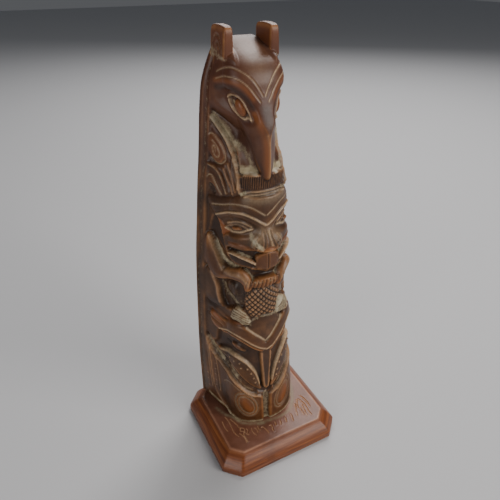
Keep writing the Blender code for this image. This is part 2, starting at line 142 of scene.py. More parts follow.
# Blurs that tell fine and broad ridges from hollows
FINE_BLUR, BROAD_BLUR = 8, 60

# Meshes: distance in metres at which points merge, cuts in an ear, its squareness, sharp edges of the plinth
MERGE_DISTANCE = 0.000002
EAR_CUTS, EAR_SQUARENESS = 30, 8
SHARP_ANGLE = 32

# Noise in both materials: name and detail
MOTTLES = (("Blotch", 4.0), ("Grain", 3.0))
MOTTLE_ROUGHNESS = 0.62
BUMP_STRENGTH, BUMP_DISTANCE = 0.3, 0.0002

# Colours of the column, as linear red, green and blue
PATINA_STOPS = ((0.28, (0.032, 0.0135, 0.0062)), (0.5, (0.074, 0.030, 0.0108)),
                (0.72, (0.152, 0.064, 0.022)))
HEAD_RED = (0.118, 0.036, 0.021)
WARM_BROWN = (0.270, 0.085, 0.022)
DARK_BROWN = (0.016, 0.0075, 0.0050)
RUBBED_ORANGE = (0.420, 0.186, 0.064)
HOLLOW_BROWN = (0.014, 0.0070, 0.0050)
# Pale of polished line lips, also laid on the crown, foreheads, nose and tail scales as painted highlights
POLISHED_AND_SHEEN = (0.74, 0.55, 0.34)
DIRT_STOPS = ((0.3, (0.25, 0.19, 0.105)), (0.7, (0.60, 0.51, 0.33)))
CHALK = (0.54, 0.50, 0.40)

# Colours of the plinth
PLINTH_SIDE_STOPS = ((0.3, (0.080, 0.021, 0.008)), (0.5, (0.200, 0.056, 0.016)),
                     (0.7, (0.320, 0.110, 0.032)))
# Paler pinkish top colours: a painted sheen on the top, along with its rubbed wear
PLINTH_TOP_SHEEN_STOPS = ((0.3, (0.105, 0.042, 0.027)), (0.55, (0.200, 0.088, 0.058)), (0.8, (0.30, 0.150, 0.105)))
PLINTH_DARK = (0.075, 0.022, 0.010)
PLINTH_RIM = (0.55, 0.28, 0.17)
PLINTH_LINES = (0.62, 0.38, 0.21)
PLINTH_DIRT = (0.30, 0.26, 0.16)

# Studio, in metres; a light has a name, a place, a size, a power and a colour
FLOOR_SIZE, FLOOR_DROP = 6.0, 0.0002
FLOOR_COLOUR, FLOOR_ROUGHNESS = (0.55, 0.56, 0.58, 1.0), 0.6
ROOM_COLOUR, ROOM_STRENGTH = (0.60, 0.62, 0.66, 1.0), 0.16
LIGHT_AIM = (0.0, 0.0, 0.1)
LIGHTS = (
    ("ceiling", (0.42, 0.30, 0.86), (0.30, 0.24), 3.2, (1.0, 0.96, 0.93)),
    ("front", (0.55, -0.75, 0.60), (0.6, 0.6), 7.5, (1.0, 0.95, 0.90)),
    ("window", (0.55, 0.75, 0.75), (0.9, 0.6), 6.5, (1.0, 0.97, 0.95)),
    ("fill", (-0.9, -0.45, 0.45), (0.5, 0.5), 3.5, (1.0, 0.96, 0.92)),
)

# Camera worked out from the photograph; angles in degrees
SENSOR_MM, FOCAL_PIXELS, PHOTO_PIXELS = 36.0, 475.0, 500.0
CAMERA_PLACE = (-0.09052, -0.16113, 0.22208)
CAMERA_DOWN, CAMERA_TURN, CAMERA_NEAR = 31.16, -27.48, 0.005


def smooth(low, high, value):
    """0 below low, 1 above high and a soft S between them."""
    t = np.clip((value - low) / (high - low), 0.0, 1.0)
    return t * t * (3.0 - 2.0 * t)


def curve(points, closed=False, steps=CURVE_STEPS):
    """Points along a smooth curve through the given ones."""
    p = np.array(points, dtype=float)
    if closed:
        p = np.vstack((p[-1], p, p[0], p[1]))
    else:
        p = np.vstack((2 * p[0] - p[1], p, 2 * p[-1] - p[-2]))
    lean = p[2:] - p[:-2]
    lean /= np.maximum(np.linalg.norm(lean, axis=1), 1e-9)[:, None]
    t = (np.arange(steps) / steps)[:, None]
    out = []
    for start, end, leave, arrive in zip(p[1:-2], p[2:-1], lean[:-1], lean[1:]):
        span = np.linalg.norm(end - start)
        out.append((2 * t ** 3 - 3 * t ** 2 + 1) * start + (t ** 3 - 2 * t ** 2 + t) * span * leave
                   + (3 * t ** 2 - 2 * t ** 3) * end + (t ** 3 - t ** 2) * span * arrive)
    out.append(p[1:2] if closed else p[-2:-1])
    return np.vstack(out)


OUTLINE = curve(STATIONS, steps=2 * CURVE_STEPS)


def oval(middle, half, tilt, count=12):
    """An egg outline as a list of points."""
    turn = np.linspace(0.0, 2.0 * np.pi, count, endpoint=False)
    a, b = half[0] * np.cos(turn), half[1] * np.sin(turn)
    c, d = np.cos(np.radians(tilt)), np.sin(np.radians(tilt))
    return [(middle[0] + x * c - y * d, middle[1] + x * d + y * c) for x, y in zip(a, b)]


class Carving:
    """Height of the carving over the plain surface, with its colouring, at places (a, z)."""

    def __init__(self, a, z, side=None):
        self.a, self.z = a, z
        self.side = side
        self.h, self.dirt, self.tone, self.pale = (np.zeros(a.shape) for _ in range(4))

    def near(self, line, pad, only=0):
        """Index of the places within pad of a line's own box, on one side of the middle or both."""
        low, high = line.min(axis=0) - pad, line.max(axis=0) + pad
        found = (self.a > low[0]) & (self.a < high[0]) & (self.z > low[1]) & (self.z < high[1])
        if only:
            found &= self.side * only > 0
        return np.nonzero(found)[0]

    def reach(self, here, line):
        """Distance to a line from the places in here."""
        a, z = self.a[here], self.z[here]
        best = np.full(a.shape, 1e9)
        for (a0, z0), (a1, z1) in zip(line[:-1], line[1:]):
            da, dz = a1 - a0, z1 - z0
            t = np.clip(((a - a0) * da + (z - z0) * dz) / (da * da + dz * dz + 1e-9), 0.0, 1.0)
            best = np.minimum(best, (a - a0 - t * da) ** 2 + (z - z0 - t * dz) ** 2)
        return np.sqrt(best)

    def inside(self, outline, pad=3.0, only=0):
        """Places near a closed outline and how deep each lies inside it."""
        line = curve(outline, closed=True)
        here = self.near(line, pad, only)
        a, z = self.a[here], self.z[here]
        within = np.zeros(a.shape, dtype=bool)
        for (a0, z0), (a1, z1) in zip(line[:-1], line[1:]):
            if z0 != z1:
                within ^= ((z0 > z) != (z1 > z)) & (a < a0 + (z - z0) * (a1 - a0) / (z1 - z0))
        return here, np.where(within, 1.0, -1.0) * self.reach(here, line)

    def form(self, outline, top, crown=0.0, crown_reach=2.0, edge=EDGE, dirt=0.0, tone=0.0, only=0):
        """Raise or sink an outlined area to its own level, with a pillow of crown height."""
        here, deep = self.inside(outline, only=only)
        share = smooth(-edge / 2, edge / 2, deep)
        level = top - crown * np.exp(-np.maximum(deep, 0.0) / crown_reach)
        self.h[here] += (level - self.h[here]) * share
        self.dirt[here] += (dirt - self.dirt[here]) * share
        self.tone[here] += (tone - self.tone[here]) * share
        self.pale[here] *= 1.0 - share

    def swell(self, outline, height, low, high):
        """Add height inside an outline, rising from low to high millimetres in from its edge."""
        here, deep = self.inside(outline)
        self.h[here] += height * smooth(low, high, deep)

    def ridge(self, points, height, width, dirt=0.0, pale=0.0, tone=0.0, only=0):
        """Add a rounded ridge, or a groove with a height below zero."""
        line = curve(points)
        here = self.near(line, 3.0 * width, only)
        share = np.exp(-(self.reach(here, line) / width) ** 2)
        self.h[here] += height * share
        self.dirt[here] += dirt * share
        self.pale[here] += pale * share
        self.tone[here] += tone * share

    def cut(self, points, depth=0.3, width=0.3, pale=0.7, only=0):
        """Cut a thin line, its lips polished pale."""
        line = curve(points)
        here = self.near(line, 2.0, only)
        away = self.reach(here, line)
        self.h[here] += 0.35 * depth * np.exp(-((away - 2.0 * width) / width) ** 2)
        self.h[here] -= depth * np.exp(-(away / width) ** 2)
        self.pale[here] += pale * np.exp(-(away / (0.9 * width)) ** 2)

    def dots(self, places, height=0.5, radius=0.62, pale=0.5):
        """Round studs."""
        for a, z in places:
            here = self.near(np.array([(a, z)]), 2.0 * radius)
            away = np.hypot(self.a[here] - a, self.z[here] - z)
            share = smooth(0.0, 0.6 * radius, radius - away)
            self.h[here] += height * share
            self.pale[here] += pale * share

    def soil(self, points, dirt, width):
        """Lay pale dirt along a line."""
        self.ridge(points, 0.0, width, dirt=dirt)

    def tint(self, points, tone, width, only=0):
        """Warm the colour along a line, or darken it below zero."""
        self.ridge(points, 0.0, width, tone=tone, only=only)


def carve_side(c, half_way):
    """Plain side, a little lower than the strip along the back edge."""
    strip = smooth(0.0, 1.1, c.a - (half_way - 2.9))
    c.h -= (0.55 + 1.1 * (1.0 - smooth(10.0, 28.0, c.a))) * (1.0 - strip)
    groove = np.exp(-((c.a - half_way + 3.6) / 0.7) ** 2)
    c.h -= 0.3 * groove
    c.dirt += 0.34 * groove
    beside = smooth(3.0, 0.0, np.abs(c.a - half_way + 6.5))
    c.dirt += 0.35 * beside * smooth(148.0, 156.0, c.z) * smooth(176.0, 168.0, c.z)


def carve_bird(c):
    """Top figure: hooded brow, almond eyes, long beak, wings and breast."""
    frame_line = [(30.4, 169.2), (28, 166.8), (25, 163.6), (22, 160.2), (19.8, 156.4), (17.2, 152.2),
                  (15.2, 148), (13.9, 144), (13.2, 140.2)]
    wing = frame_line + [(20, 136.6), (29, 134.6), (35.6, 134.6), (34.8, 150), (33.4, 162)]
    c.form(wing, -1.3)
    c.ridge(frame_line, 0.8, 0.7, pale=0.35)
    c.ridge([(a + 1.9, z - 0.6) for a, z in frame_line], -0.6, 0.6)
    c.form(oval((27.6, 155.6), (6.6, 4.6), 58), -0.6, 0.5, tone=0.35)
    c.ridge([(31.4, 151.6), (28.6, 149.2), (25.6, 149.2), (23, 151.6)], -0.7, 0.6, dirt=0.3)
    c.cut([(31.4, 160.4), (30.4, 161.4), (28.8, 161.2), (26.4, 159.4), (24.2, 157), (22.9, 154.4),
           (22.7, 152.6), (23.8, 150.6), (26, 149.4), (28.4, 149.6), (30.6, 151.2)], 0.4)
    c.cut([(29.6, 158.8), (27.3, 157), (25.8, 154.8), (26.2, 152.4), (28, 152.2), (29.4, 154.4), (29, 156.6),
           (27.8, 155.8), (27.8, 154)], 0.4)
    c.ridge([(34.4, 148.4), (31, 147.9), (28, 147), (26.4, 145.8), (24.8, 143.8), (23.2, 141),
             (21.4, 137.6)], 1.1, 0.8, dirt=0.45)
    feathers = (((23.6, 147.6), (17.6, 138.6)), ((21.2, 150.2), (15.8, 140.2)), ((18.8, 152.6), (14.2, 142)))
    for top, foot in feathers:
        bend = (0.5 * (top[0] + foot[0]) + 0.5, 0.5 * (top[1] + foot[1]) + 0.4)
        c.ridge([top, bend, foot], 0.85, 0.75, pale=0.15, tone=0.25)
        c.ridge([(top[0] + 1.3, top[1] - 0.5), (bend[0] + 1.3, bend[1] - 0.5),
                 (foot[0] + 1.2, foot[1] - 0.4)], -0.55, 0.5, dirt=0.3)
    c.form(oval((29.2, 139.6), (6.2, 3), 42), -0.8, 0.4, tone=0.1)
    c.cut([(33.6, 141.6), (32.2, 143.4), (30.4, 143.2), (28.6, 141.2), (26.8, 139), (24.4, 136)], 0.45)
    c.form(oval((30, 137.6), (2.8, 1.6), 45), -1.7, dirt=0.2, tone=-0.6)
    breast = [(-4, 149), (5, 148.8), (14.4, 147.6), (16.2, 151.4), (18.8, 155.8), (21.2, 160.2), (24.2, 164),
              (27.4, 167), (30, 169.8), (33.4, 171.8), (30, 174), (20, 174), (-4, 174)]
    c.form(breast, -4.4, edge=1.2, tone=-0.2)
    here, deep = c.inside(breast)
    c.h[here] += 2.6 * smooth(0, 1, deep) * np.exp(-(c.reach(here, curve(frame_line)) / 3.2) ** 2)
    c.soil([(30, 170.2), (27, 167.8), (23.6, 164.6), (20.4, 161.2), (17.6, 158.6), (14, 157.4), (10.6, 155),
            (8.6, 152)], 0.55, 2)
    c.soil([(28, 166), (24, 162.6), (20.6, 158), (17.4, 153.6), (14.6, 149.6)], 0.4, 2.4)
    c.soil([(13, 149.4), (9.4, 149.8), (5.6, 149.4)], 1.1, 1.6)
    # Dirt on the breast right of the beak, its pale a painted highlight on that dirt
    c.ridge([(3, 151.6), (5.6, 151)], 0.3, 1.8, dirt=0.8, pale=0.5, only=1)
    c.tint([(20.4, 158.4), (16, 155.2)], 0.5, 1.4)
    striped = [(-4, 141.8), (5, 141.8), (9.4, 142), (12.4, 142.6), (13.4, 147), (10, 148.2), (5, 147.8),
               (-4, 147.8)]
    c.form(striped, -1.6, 0.4, tone=-0.7)
    c.ridge([(4.6, 148.2), (9, 148.6), (12.6, 147.8)], 0.3, 0.5, pale=0.6)
    for step in range(12):
        c.cut([(0.5 + 1.1 * step, 147.4), (0.5 + 1.1 * step, 142.6)], 0.4, 0.28, pale=-0.2)
    c.form([(-4, 139.6), (11.5, 139.8), (11.5, 141.9), (-4, 141.9)], -2.2, tone=-0.3)
    for z in (141.2, 139.9):
        c.ridge([(-2, z + 0.1), (4, z), (8, z - 0.2), (10.4, z - 0.8)], 0.6, 0.34, pale=0.55)
    c.soil([(10.4, 140.6), (12.4, 139.8)], 0.9, 0.9)
    lower_edge = [(0.7, 146.3), (1.9, 147), (3.4, 149), (4.9, 151.8), (6.5, 154.9), (8.4, 158.2),
                  (10.6, 161.2), (14.2, 163.4), (18, 165), (21, 166.4), (24, 168), (27, 169.8), (30, 171.4),
                  (33, 172.6)]
    head = [(-4, 150), (-4, 146.4)] + lower_edge + [(38, 174.5), (44, 180), (44, 204), (-4, 204)]
    here, deep = c.inside(head, 6)
    share = smooth(-EDGE / 2, EDGE / 2, deep)
    a, z = c.a[here], c.z[here]
    bridge = 3.6 * smooth(162, 173, z)
    roof = 4.4 * (1.0 - np.exp(-0.24 * np.maximum(a - bridge, 0))) * (1.0 - smooth(164, 176, z))
    level = 1.0 - smooth(166, 176, z) - roof - 1.1 * np.exp(-np.maximum(deep, 0) / 1.6)
    c.h[here] += (level - c.h[here]) * share
    c.dirt[here] *= 1.0 - share
    c.pale[here] *= 1.0 - share
    c.tone[here] *= 1.0 - share
    # Painted shadow of the overhanging head, darkening a band along its lower edge
    c.tone[here] -= 0.35 * share * np.exp(-((deep - 0.6) / 1.6) ** 2)
    # Painted light: the lit left face of the beak's ridge is warmed, on the left side only
    c.tint([(4.8, 172.6), (3.2, 168.6), (1.6, 164.6), (0.7, 160), (0.6, 152), (0.6, 147.8)], 1, 1.5, only=-1)
    # Painted shade on the shaded right part of the beak's bridge
    c.tint([(0.6, 174), (0.4, 171), (1.2, 165)], -0.6, 2)
    c.ridge([(0.8, 164.4), (0.1, 160), (0, 152), (0.3, 147.8)], 0.3, 0.5, pale=0.15)
    socket = [(2.8, 171.4), (4.6, 175.8), (7, 179.2), (10.4, 181.2), (15, 181.8), (20.6, 181.2), (24, 178.8),
              (24, 174.6), (20, 170.4), (14, 167.8), (8.4, 167), (4.6, 168)]
    here, deep = c.inside(socket)
    c.h[here] -= 2.2 * smooth(-0.3, 4.4, deep)
    # Painted shade under the brow, along the top of the eye socket
    c.tint([(22.5, 180.6), (15, 181.4), (10.2, 180.4), (7.2, 178), (5, 174.6)], -0.7, 1.3)
    c.tint([(23, 183), (17, 183.7), (11.4, 183.4), (7.6, 181.4), (4.8, 177.8)], 0.6, 1.1)
    upper = [(17.9, 177.1), (16.4, 178), (14, 178.5), (11.3, 178.2), (9.2, 176.6), (7.9, 173.6),
             (6.9, 170.3)]
    lower = [(17.7, 176), (17.5, 173.6), (16.2, 171.6), (13.2, 170.2), (10.4, 169.9), (8.6, 170.7),
             (6.9, 170)]
    lid = upper + lower[-2::-1]
    c.swell(lid, 1, -1.6, 0.6)
    c.form([(a + 0.08 * (12.6 - a), z + 0.08 * (174.6 - z)) for a, z in lid], -2.3, edge=0.7, tone=-0.2)
    c.ridge(upper, 0.55, 0.42, pale=0.75)
    c.ridge(lower, 0.55, 0.42, pale=0.95)
    here = c.near(np.array([(11.8, 173.8)]), 4)
    away = np.hypot((c.a[here] - 11.8) / 3.3, (c.z[here] - 173.8) / 3.3)
    ball = np.sqrt(np.clip(1.0 - away ** 2, 0, 1))
    c.h[here] += 1.9 * ball
    c.tone[here] += 0.9 * smooth(0, 0.5, ball)
    c.soil([(16.4, 175.3), (15.9, 173.8)], 1, 0.7)
    outer = [(0.5, 178.6), (2.2, 181.7), (4.6, 185), (7.6, 187.3), (11, 188.6), (14, 188.4), (18, 187.5),
             (21.4, 186.3)]
    inner = [(1.8, 176.6), (3.2, 178.5), (5, 181), (7.5, 183.5), (10, 184.9), (13, 185.5), (17, 185.2),
             (22.6, 183.6)]
    for line in (outer, inner):
        c.cut(line, 0.25, 0.27, pale=0.5, only=-1)
        c.cut(line, 0.25, 0.27, pale=0.9, only=1)
    # Pale down the crown's middle: a painted highlight along with the crown's wear
    c.ridge([(0, 194), (0, 188)], 0, 6.5, pale=0.14)
    c.swell([(8, 189), (12, 190), (18, 189.4), (23, 187.6), (28, 186), (28, 189), (22, 192.5), (14, 195),
             (7, 195.6)], 0.9, 0, 1.8)
    c.soil([(9, 193), (12, 191.4), (16, 190.8)], 0.7, 0.9)


def carve_beaver(c):
    """Middle figure: broad face, front teeth, folded arms, scaly tail and striped feet."""
    c.form([(-4, 140.2), (10.6, 140.2), (14, 139.2), (18.5, 137.4), (23, 135.9), (28, 135.3), (34.4, 135.4),
            (36, 128), (36, 118), (39, 110), (39.4, 74), (-4, 74)], -1.9)
    c.form([(24.6, 126), (28, 127), (32.6, 118), (32.6, 113), (29, 108.6), (25.2, 104.4), (22, 103),
            (22, 112)], -2.9, edge=1.4, tone=-0.7)
    hollow = [(26.4, 95.4), (19, 96.6), (13, 96.4), (10.4, 93), (9.8, 88), (10.4, 82), (17.4, 81.4),
              (22.6, 77.6), (25.4, 79), (26.6, 88)]
    c.form(hollow, -3.9, edge=2, dirt=0.2, tone=-0.35)
    c.swell([(23, 94), (17, 95), (13, 91), (15, 86), (20, 84.6), (24, 88)], 1.5, 0, 3.5)
    c.tint([(21, 92.4), (17, 90), (14, 86)], 0.35, 2)
    c.soil([(25, 90), (21.6, 85), (16, 83)], 0.35, 1.5)
    neck = [(-4, 106), (6, 106), (12, 106), (20, 107), (25, 108), (31, 113.6), (33.4, 116), (33.8, 113),
            (30, 106), (26, 101.6), (18, 101), (10, 101), (7, 98), (-4, 97.6)]
    c.form(neck, -4, edge=1.4)
    c.soil([(32.6, 113.2), (29.4, 108), (26.6, 104), (22.4, 102.4), (17.6, 103), (13, 103), (9.4, 101),
            (7, 98.4), (3.4, 97.6), (0, 97.4)], 0.85, 1.3)
    # Painted shade under the beaver's chin
    c.tint([(0, 102), (5, 102.6), (9, 104.6)], -0.9, 1.7)
    face = [(-4, 139.8), (10.6, 139.8), (14, 138.8), (18.5, 137.1), (23, 135.5), (28, 134.8), (32, 134.4),
            (32.8, 131), (30, 127.2), (27.4, 124), (26, 120), (25, 116), (24, 111.4), (22, 107), (17, 105.6),
            (10, 104.9), (6.4, 103.9), (-4, 103.4)]
    c.form(face, -0.3, 1, 1.6)
    socket = [(2.6, 124.4), (5, 127.6), (8.6, 129.6), (13, 130.2), (18.4, 129), (24, 126.6), (26.8, 124.4),
              (25.6, 120.4), (20.6, 118.6), (12.6, 119.4), (6, 120.8)]
    c.swell(socket, -1.6, -0.2, 2.6)
    c.form([(27.4, 124.4), (25.6, 121), (25.6, 116.8), (22.6, 118.4), (20.4, 120.6), (23.4, 121.6)], -1.6,
           edge=1.2, tone=1.2)
    c.ridge([(21.5, 123.6), (17, 126), (12.6, 126.9), (9, 126.3), (6.8, 125.4)], 0.6, 0.45, pale=0.45)
    eye = [(22.6, 121.2), (18.2, 123.8), (14.2, 125.1), (11.4, 124.9), (9.2, 124), (11.8, 122.8),
           (15.6, 122), (19.6, 121.2)]
    c.form(eye, -2, edge=0.5, tone=-0.4)
    c.swell([(18.6, 123.2), (15.8, 124.6), (12.8, 124.8), (11.6, 123.6), (13.6, 122.6), (17, 122)], 1.4,
            -0.2, 1.1)
    c.tint([(17, 123.1), (13.2, 123.9)], 1, 1)
    c.ridge([(22.8, 121.4), (18.2, 124.1), (14.2, 125.4), (11.4, 125.2), (8.8, 124.1)], 0.4, 0.36, pale=0.3)
    c.ridge([(23, 121), (19.6, 120.9), (15.6, 121.6), (12, 122.4), (9, 123.6), (6.4, 124.3)], 0.6, 0.4,
            pale=0.9)
    outer = [(0.5, 130.9), (3.2, 132.9), (6.4, 134.7), (10, 135.4), (14, 135), (18, 133.7), (23, 132),
             (29.4, 130.6)]
    inner = [(0.3, 126.4), (2.3, 127.7), (4.5, 129.3), (7.4, 130.8), (10.4, 131.6), (13, 131.5), (17, 130.5),
             (21.6, 128.8), (27.6, 126.2)]
    c.cut(outer, 0.3, 0.3, pale=0.7)
    c.ridge(inner, 0.6, 0.4, pale=0.9)
    c.cut([(a, z + 0.9) for a, z in inner], 0.25, 0.3, pale=0)
    here, deep = c.inside([(-4, 125), (1.8, 124.6), (3.6, 122.6), (6.6, 120.4), (8.2, 117.6), (6.6, 114.8),
                           (3, 114), (-4, 113.8)])
    snout = 0.2 + 2.6 * smooth(124.5, 116.5, c.z[here]) * np.exp(-(c.a[here] / 6.6) ** 4)
    c.h[here] += (snout - c.h[here]) * smooth(-0.8, 1.2, deep)
    c.cut([(1.7, 123.4), (1.5, 120.4), (2.4, 116.8)], 0.5, 0.34, pale=0)
    c.ridge([(7, 121.4), (5.6, 118.6), (3.6, 116.6)], 0, 1.7, dirt=0.7, only=-1)
    # Painted highlight on the right of the snout
    c.ridge([(2, 123), (5.4, 119.4)], 0, 2.6, pale=0.3)
    # Painted highlight across the beaver's forehead
    c.ridge([(-1, 138), (9, 138.2)], 0, 2.2, pale=0.25)
    # Painted highlight beside the nose line, on the right side only
    c.ridge([(0.6, 123.4), (0.9, 117.4)], 0.2, 0.6, pale=0.4, only=1)
    c.cut([(7.2, 116.4), (6.4, 119), (4.6, 121.2)], 0.35, 0.3, pale=0.3)
    for a, z in ((4.2, 115.8), (5.6, 116.4), (3.6, 117.8), (5.2, 118.2)):
        c.dots([(a, z)], -0.5, 0.5, pale=-0.5)
    c.form([(-4, 116.6), (1.2, 116.6), (2.8, 115.2), (2, 113.4), (-4, 113.2)], 3.2, 1.2, 1, tone=0.8)
    c.form([(-4, 113.6), (4.8, 113.8), (5, 111.8), (-4, 111.8)], -1.8, tone=-1)
    c.form([(4.6, 114.6), (8, 116.2), (13, 117.2), (18, 116.6), (21.2, 115.6), (20.8, 114.2), (17, 114.6),
            (12, 114.8), (7, 114), (4.6, 113.2)], 0.2, 0.8, 1, edge=0.6, tone=0.45)
    c.form([(4.6, 113.4), (12, 114), (18.4, 113.6), (22.4, 111.6), (20.8, 109.6), (14, 110.4), (9, 109.6),
            (5.8, 107.8), (4.6, 110)], -2.6, tone=-0.6)
    c.soil([(19.4, 110.8), (15.4, 111.6), (10.4, 111), (7.4, 109.6)], 0.75, 0.6)
    c.form([(21, 110.2), (17.6, 111.7), (13.6, 111.3), (9.6, 110.3), (5.9, 108.5), (5.9, 106.9),
            (9.6, 108.9), (13.6, 110.1), (17.6, 110.5)], 0.2, 0.3, 0.6, edge=0.5)
    c.ridge([(20.4, 110.2), (17.4, 111), (13.4, 110.6), (9.6, 109.5), (6.2, 107.6)], 0.2, 0.5, pale=0.95)
    c.form([(20.4, 109.6), (17.4, 110.2), (13.4, 109.8), (9.6, 108.5), (6.2, 106.6), (7.6, 105), (15, 105.8),
            (21.4, 107)], -1.3, 0.3, tone=-0.5)
    c.form([(-4, 111.9), (5.4, 111.9), (5.8, 108), (5.2, 105), (3, 104.2), (-4, 104.4)], 0.3, 0.7, 0.9,
           edge=0.6, tone=0.2)
    c.cut([(0, 111.6), (0, 104.8)], 0.5, 0.32, pale=0)
    arm = [(33.4, 115.6), (36.2, 112.6), (37.2, 107), (37.2, 101.5), (35, 97.6), (31.5, 94.6), (28, 92.8),
           (24, 93.6), (18.5, 96.4), (14, 97.1), (11.2, 95.6), (9.6, 92.8), (7.4, 91.8), (6, 93.4),
           (6.4, 96.8), (7.8, 99.8), (10.4, 102.3), (14, 103.8), (18.5, 102.8), (22.3, 101.2), (24.6, 99.6),
           (26.4, 101.6), (28.6, 105.4), (30.8, 110)]
    c.form(arm, 0.5, 1.9, 1.6, edge=0.7, tone=0.2)
    c.ridge([(33.2, 114.4), (31.2, 110.4), (29, 106), (26.6, 101.6), (25, 99.2)], 0.35, 0.6, pale=0.4)
    c.ridge([(23, 99.4), (18.4, 100.4), (14, 101), (11, 99.8), (9, 96.8)], 0.4, 1.2, pale=0.25)
    c.tint([(12, 96.4), (9.4, 94.2), (8, 92.8)], 0.8, 1.5)
    thigh = [(34.6, 97), (31, 94.4), (28.4, 91.4), (26.8, 88), (26.4, 84), (25.8, 80.4), (25, 77.2),
             (31, 76.8), (36, 78), (38, 84), (37.6, 92)]
    c.form(thigh, -0.6, 0.8, 1.6)
    c.ridge([(31.6, 95), (29.2, 91.4), (27.6, 88), (27.2, 84), (26.6, 80)], 0.5, 0.8, pale=0.3, tone=0.7)
    c.ridge([(33.8, 99.2), (36.6, 95.4), (38, 88.4)], -0.5, 0.5, dirt=0.35)
    tail = [(-4, 94.6), (2.4, 94.4), (6.6, 93.2), (9.4, 90.4), (10, 86.2), (9, 81), (6.4, 77.6), (2, 76.8),
            (-4, 76.8)]
    c.form(tail, -0.3, 1.6, 2.4)
    here, deep = c.inside(tail)
    a, z = c.a[here], c.z[here]
    rising = np.abs(np.sin(np.pi * (0.95 * a + z) / SCALE_PITCH))
    falling = np.abs(np.sin(np.pi * (1.05 * a - z) / SCALE_PITCH))
    scales = smooth(0.05, 0.75, np.minimum(rising, falling))
    within = smooth(0.3, 0.9, deep)
    c.h[here] += 0.75 * (scales - 0.5) * within
    # Painted highlight on the raised part of each scale
    c.pale[here] += 0.22 * smooth(0.5, 0.95, scales) * within
    c.tone[here] += (0.35 * scales - 1.1 * smooth(0.6, 0.2, scales)) * within
    c.ridge(tail[1:-1], -0.3, 0.5, tone=-0.5)
    c.form([(-4, 98.8), (5.2, 99), (6.8, 97), (6.2, 94.8), (-4, 95)], 0.1, 0.9, 1, tone=0.35)
    for a in (0, 1.9, 3.8, 5.6, 7.4, 9.2):
        c.cut([(a, 98.4), (a + 0.3, 94.2)], 0.5, 0.3, pale=0)
    c.soil([(5.4, 97.8), (2, 97.6)], 0.5, 0.7)
    left = [(16.4, 81.2), (13.4, 81.8), (10, 80.4), (8, 77.4), (8, 73.8), (10.4, 72.8), (15.6, 74.2),
            (20.6, 74.2), (19.6, 77.4)]
    right = [(8.6, 85.2), (12.4, 82.4), (17, 78.6), (18.6, 74.8), (15, 72.2), (10, 73.6), (6.6, 76.8),
             (7.4, 81.4)]
    for side, foot in ((-1, left), (1, right)):
        c.form(foot, -0.1, 1.4, 1.6, edge=0.6, dirt=0.9, only=side)
        here, deep = c.inside(foot, only=side)
        c.pale[here] += 0.3 * smooth(0, 0.8, deep)
        for step in range(6):
            z = 80.8 - 1.35 * step
            c.ridge([(21, z - 1.2), (14.5, z + 0.1), (8.4, z - 2.4)], -0.45, 0.36, dirt=-0.6, pale=-0.6,
                    only=side)
    c.ridge([(30, 73.6), (25, 71.8), (20, 71.9), (16, 72.9), (12.4, 73.4)], 0.9, 0.8, tone=0.6)


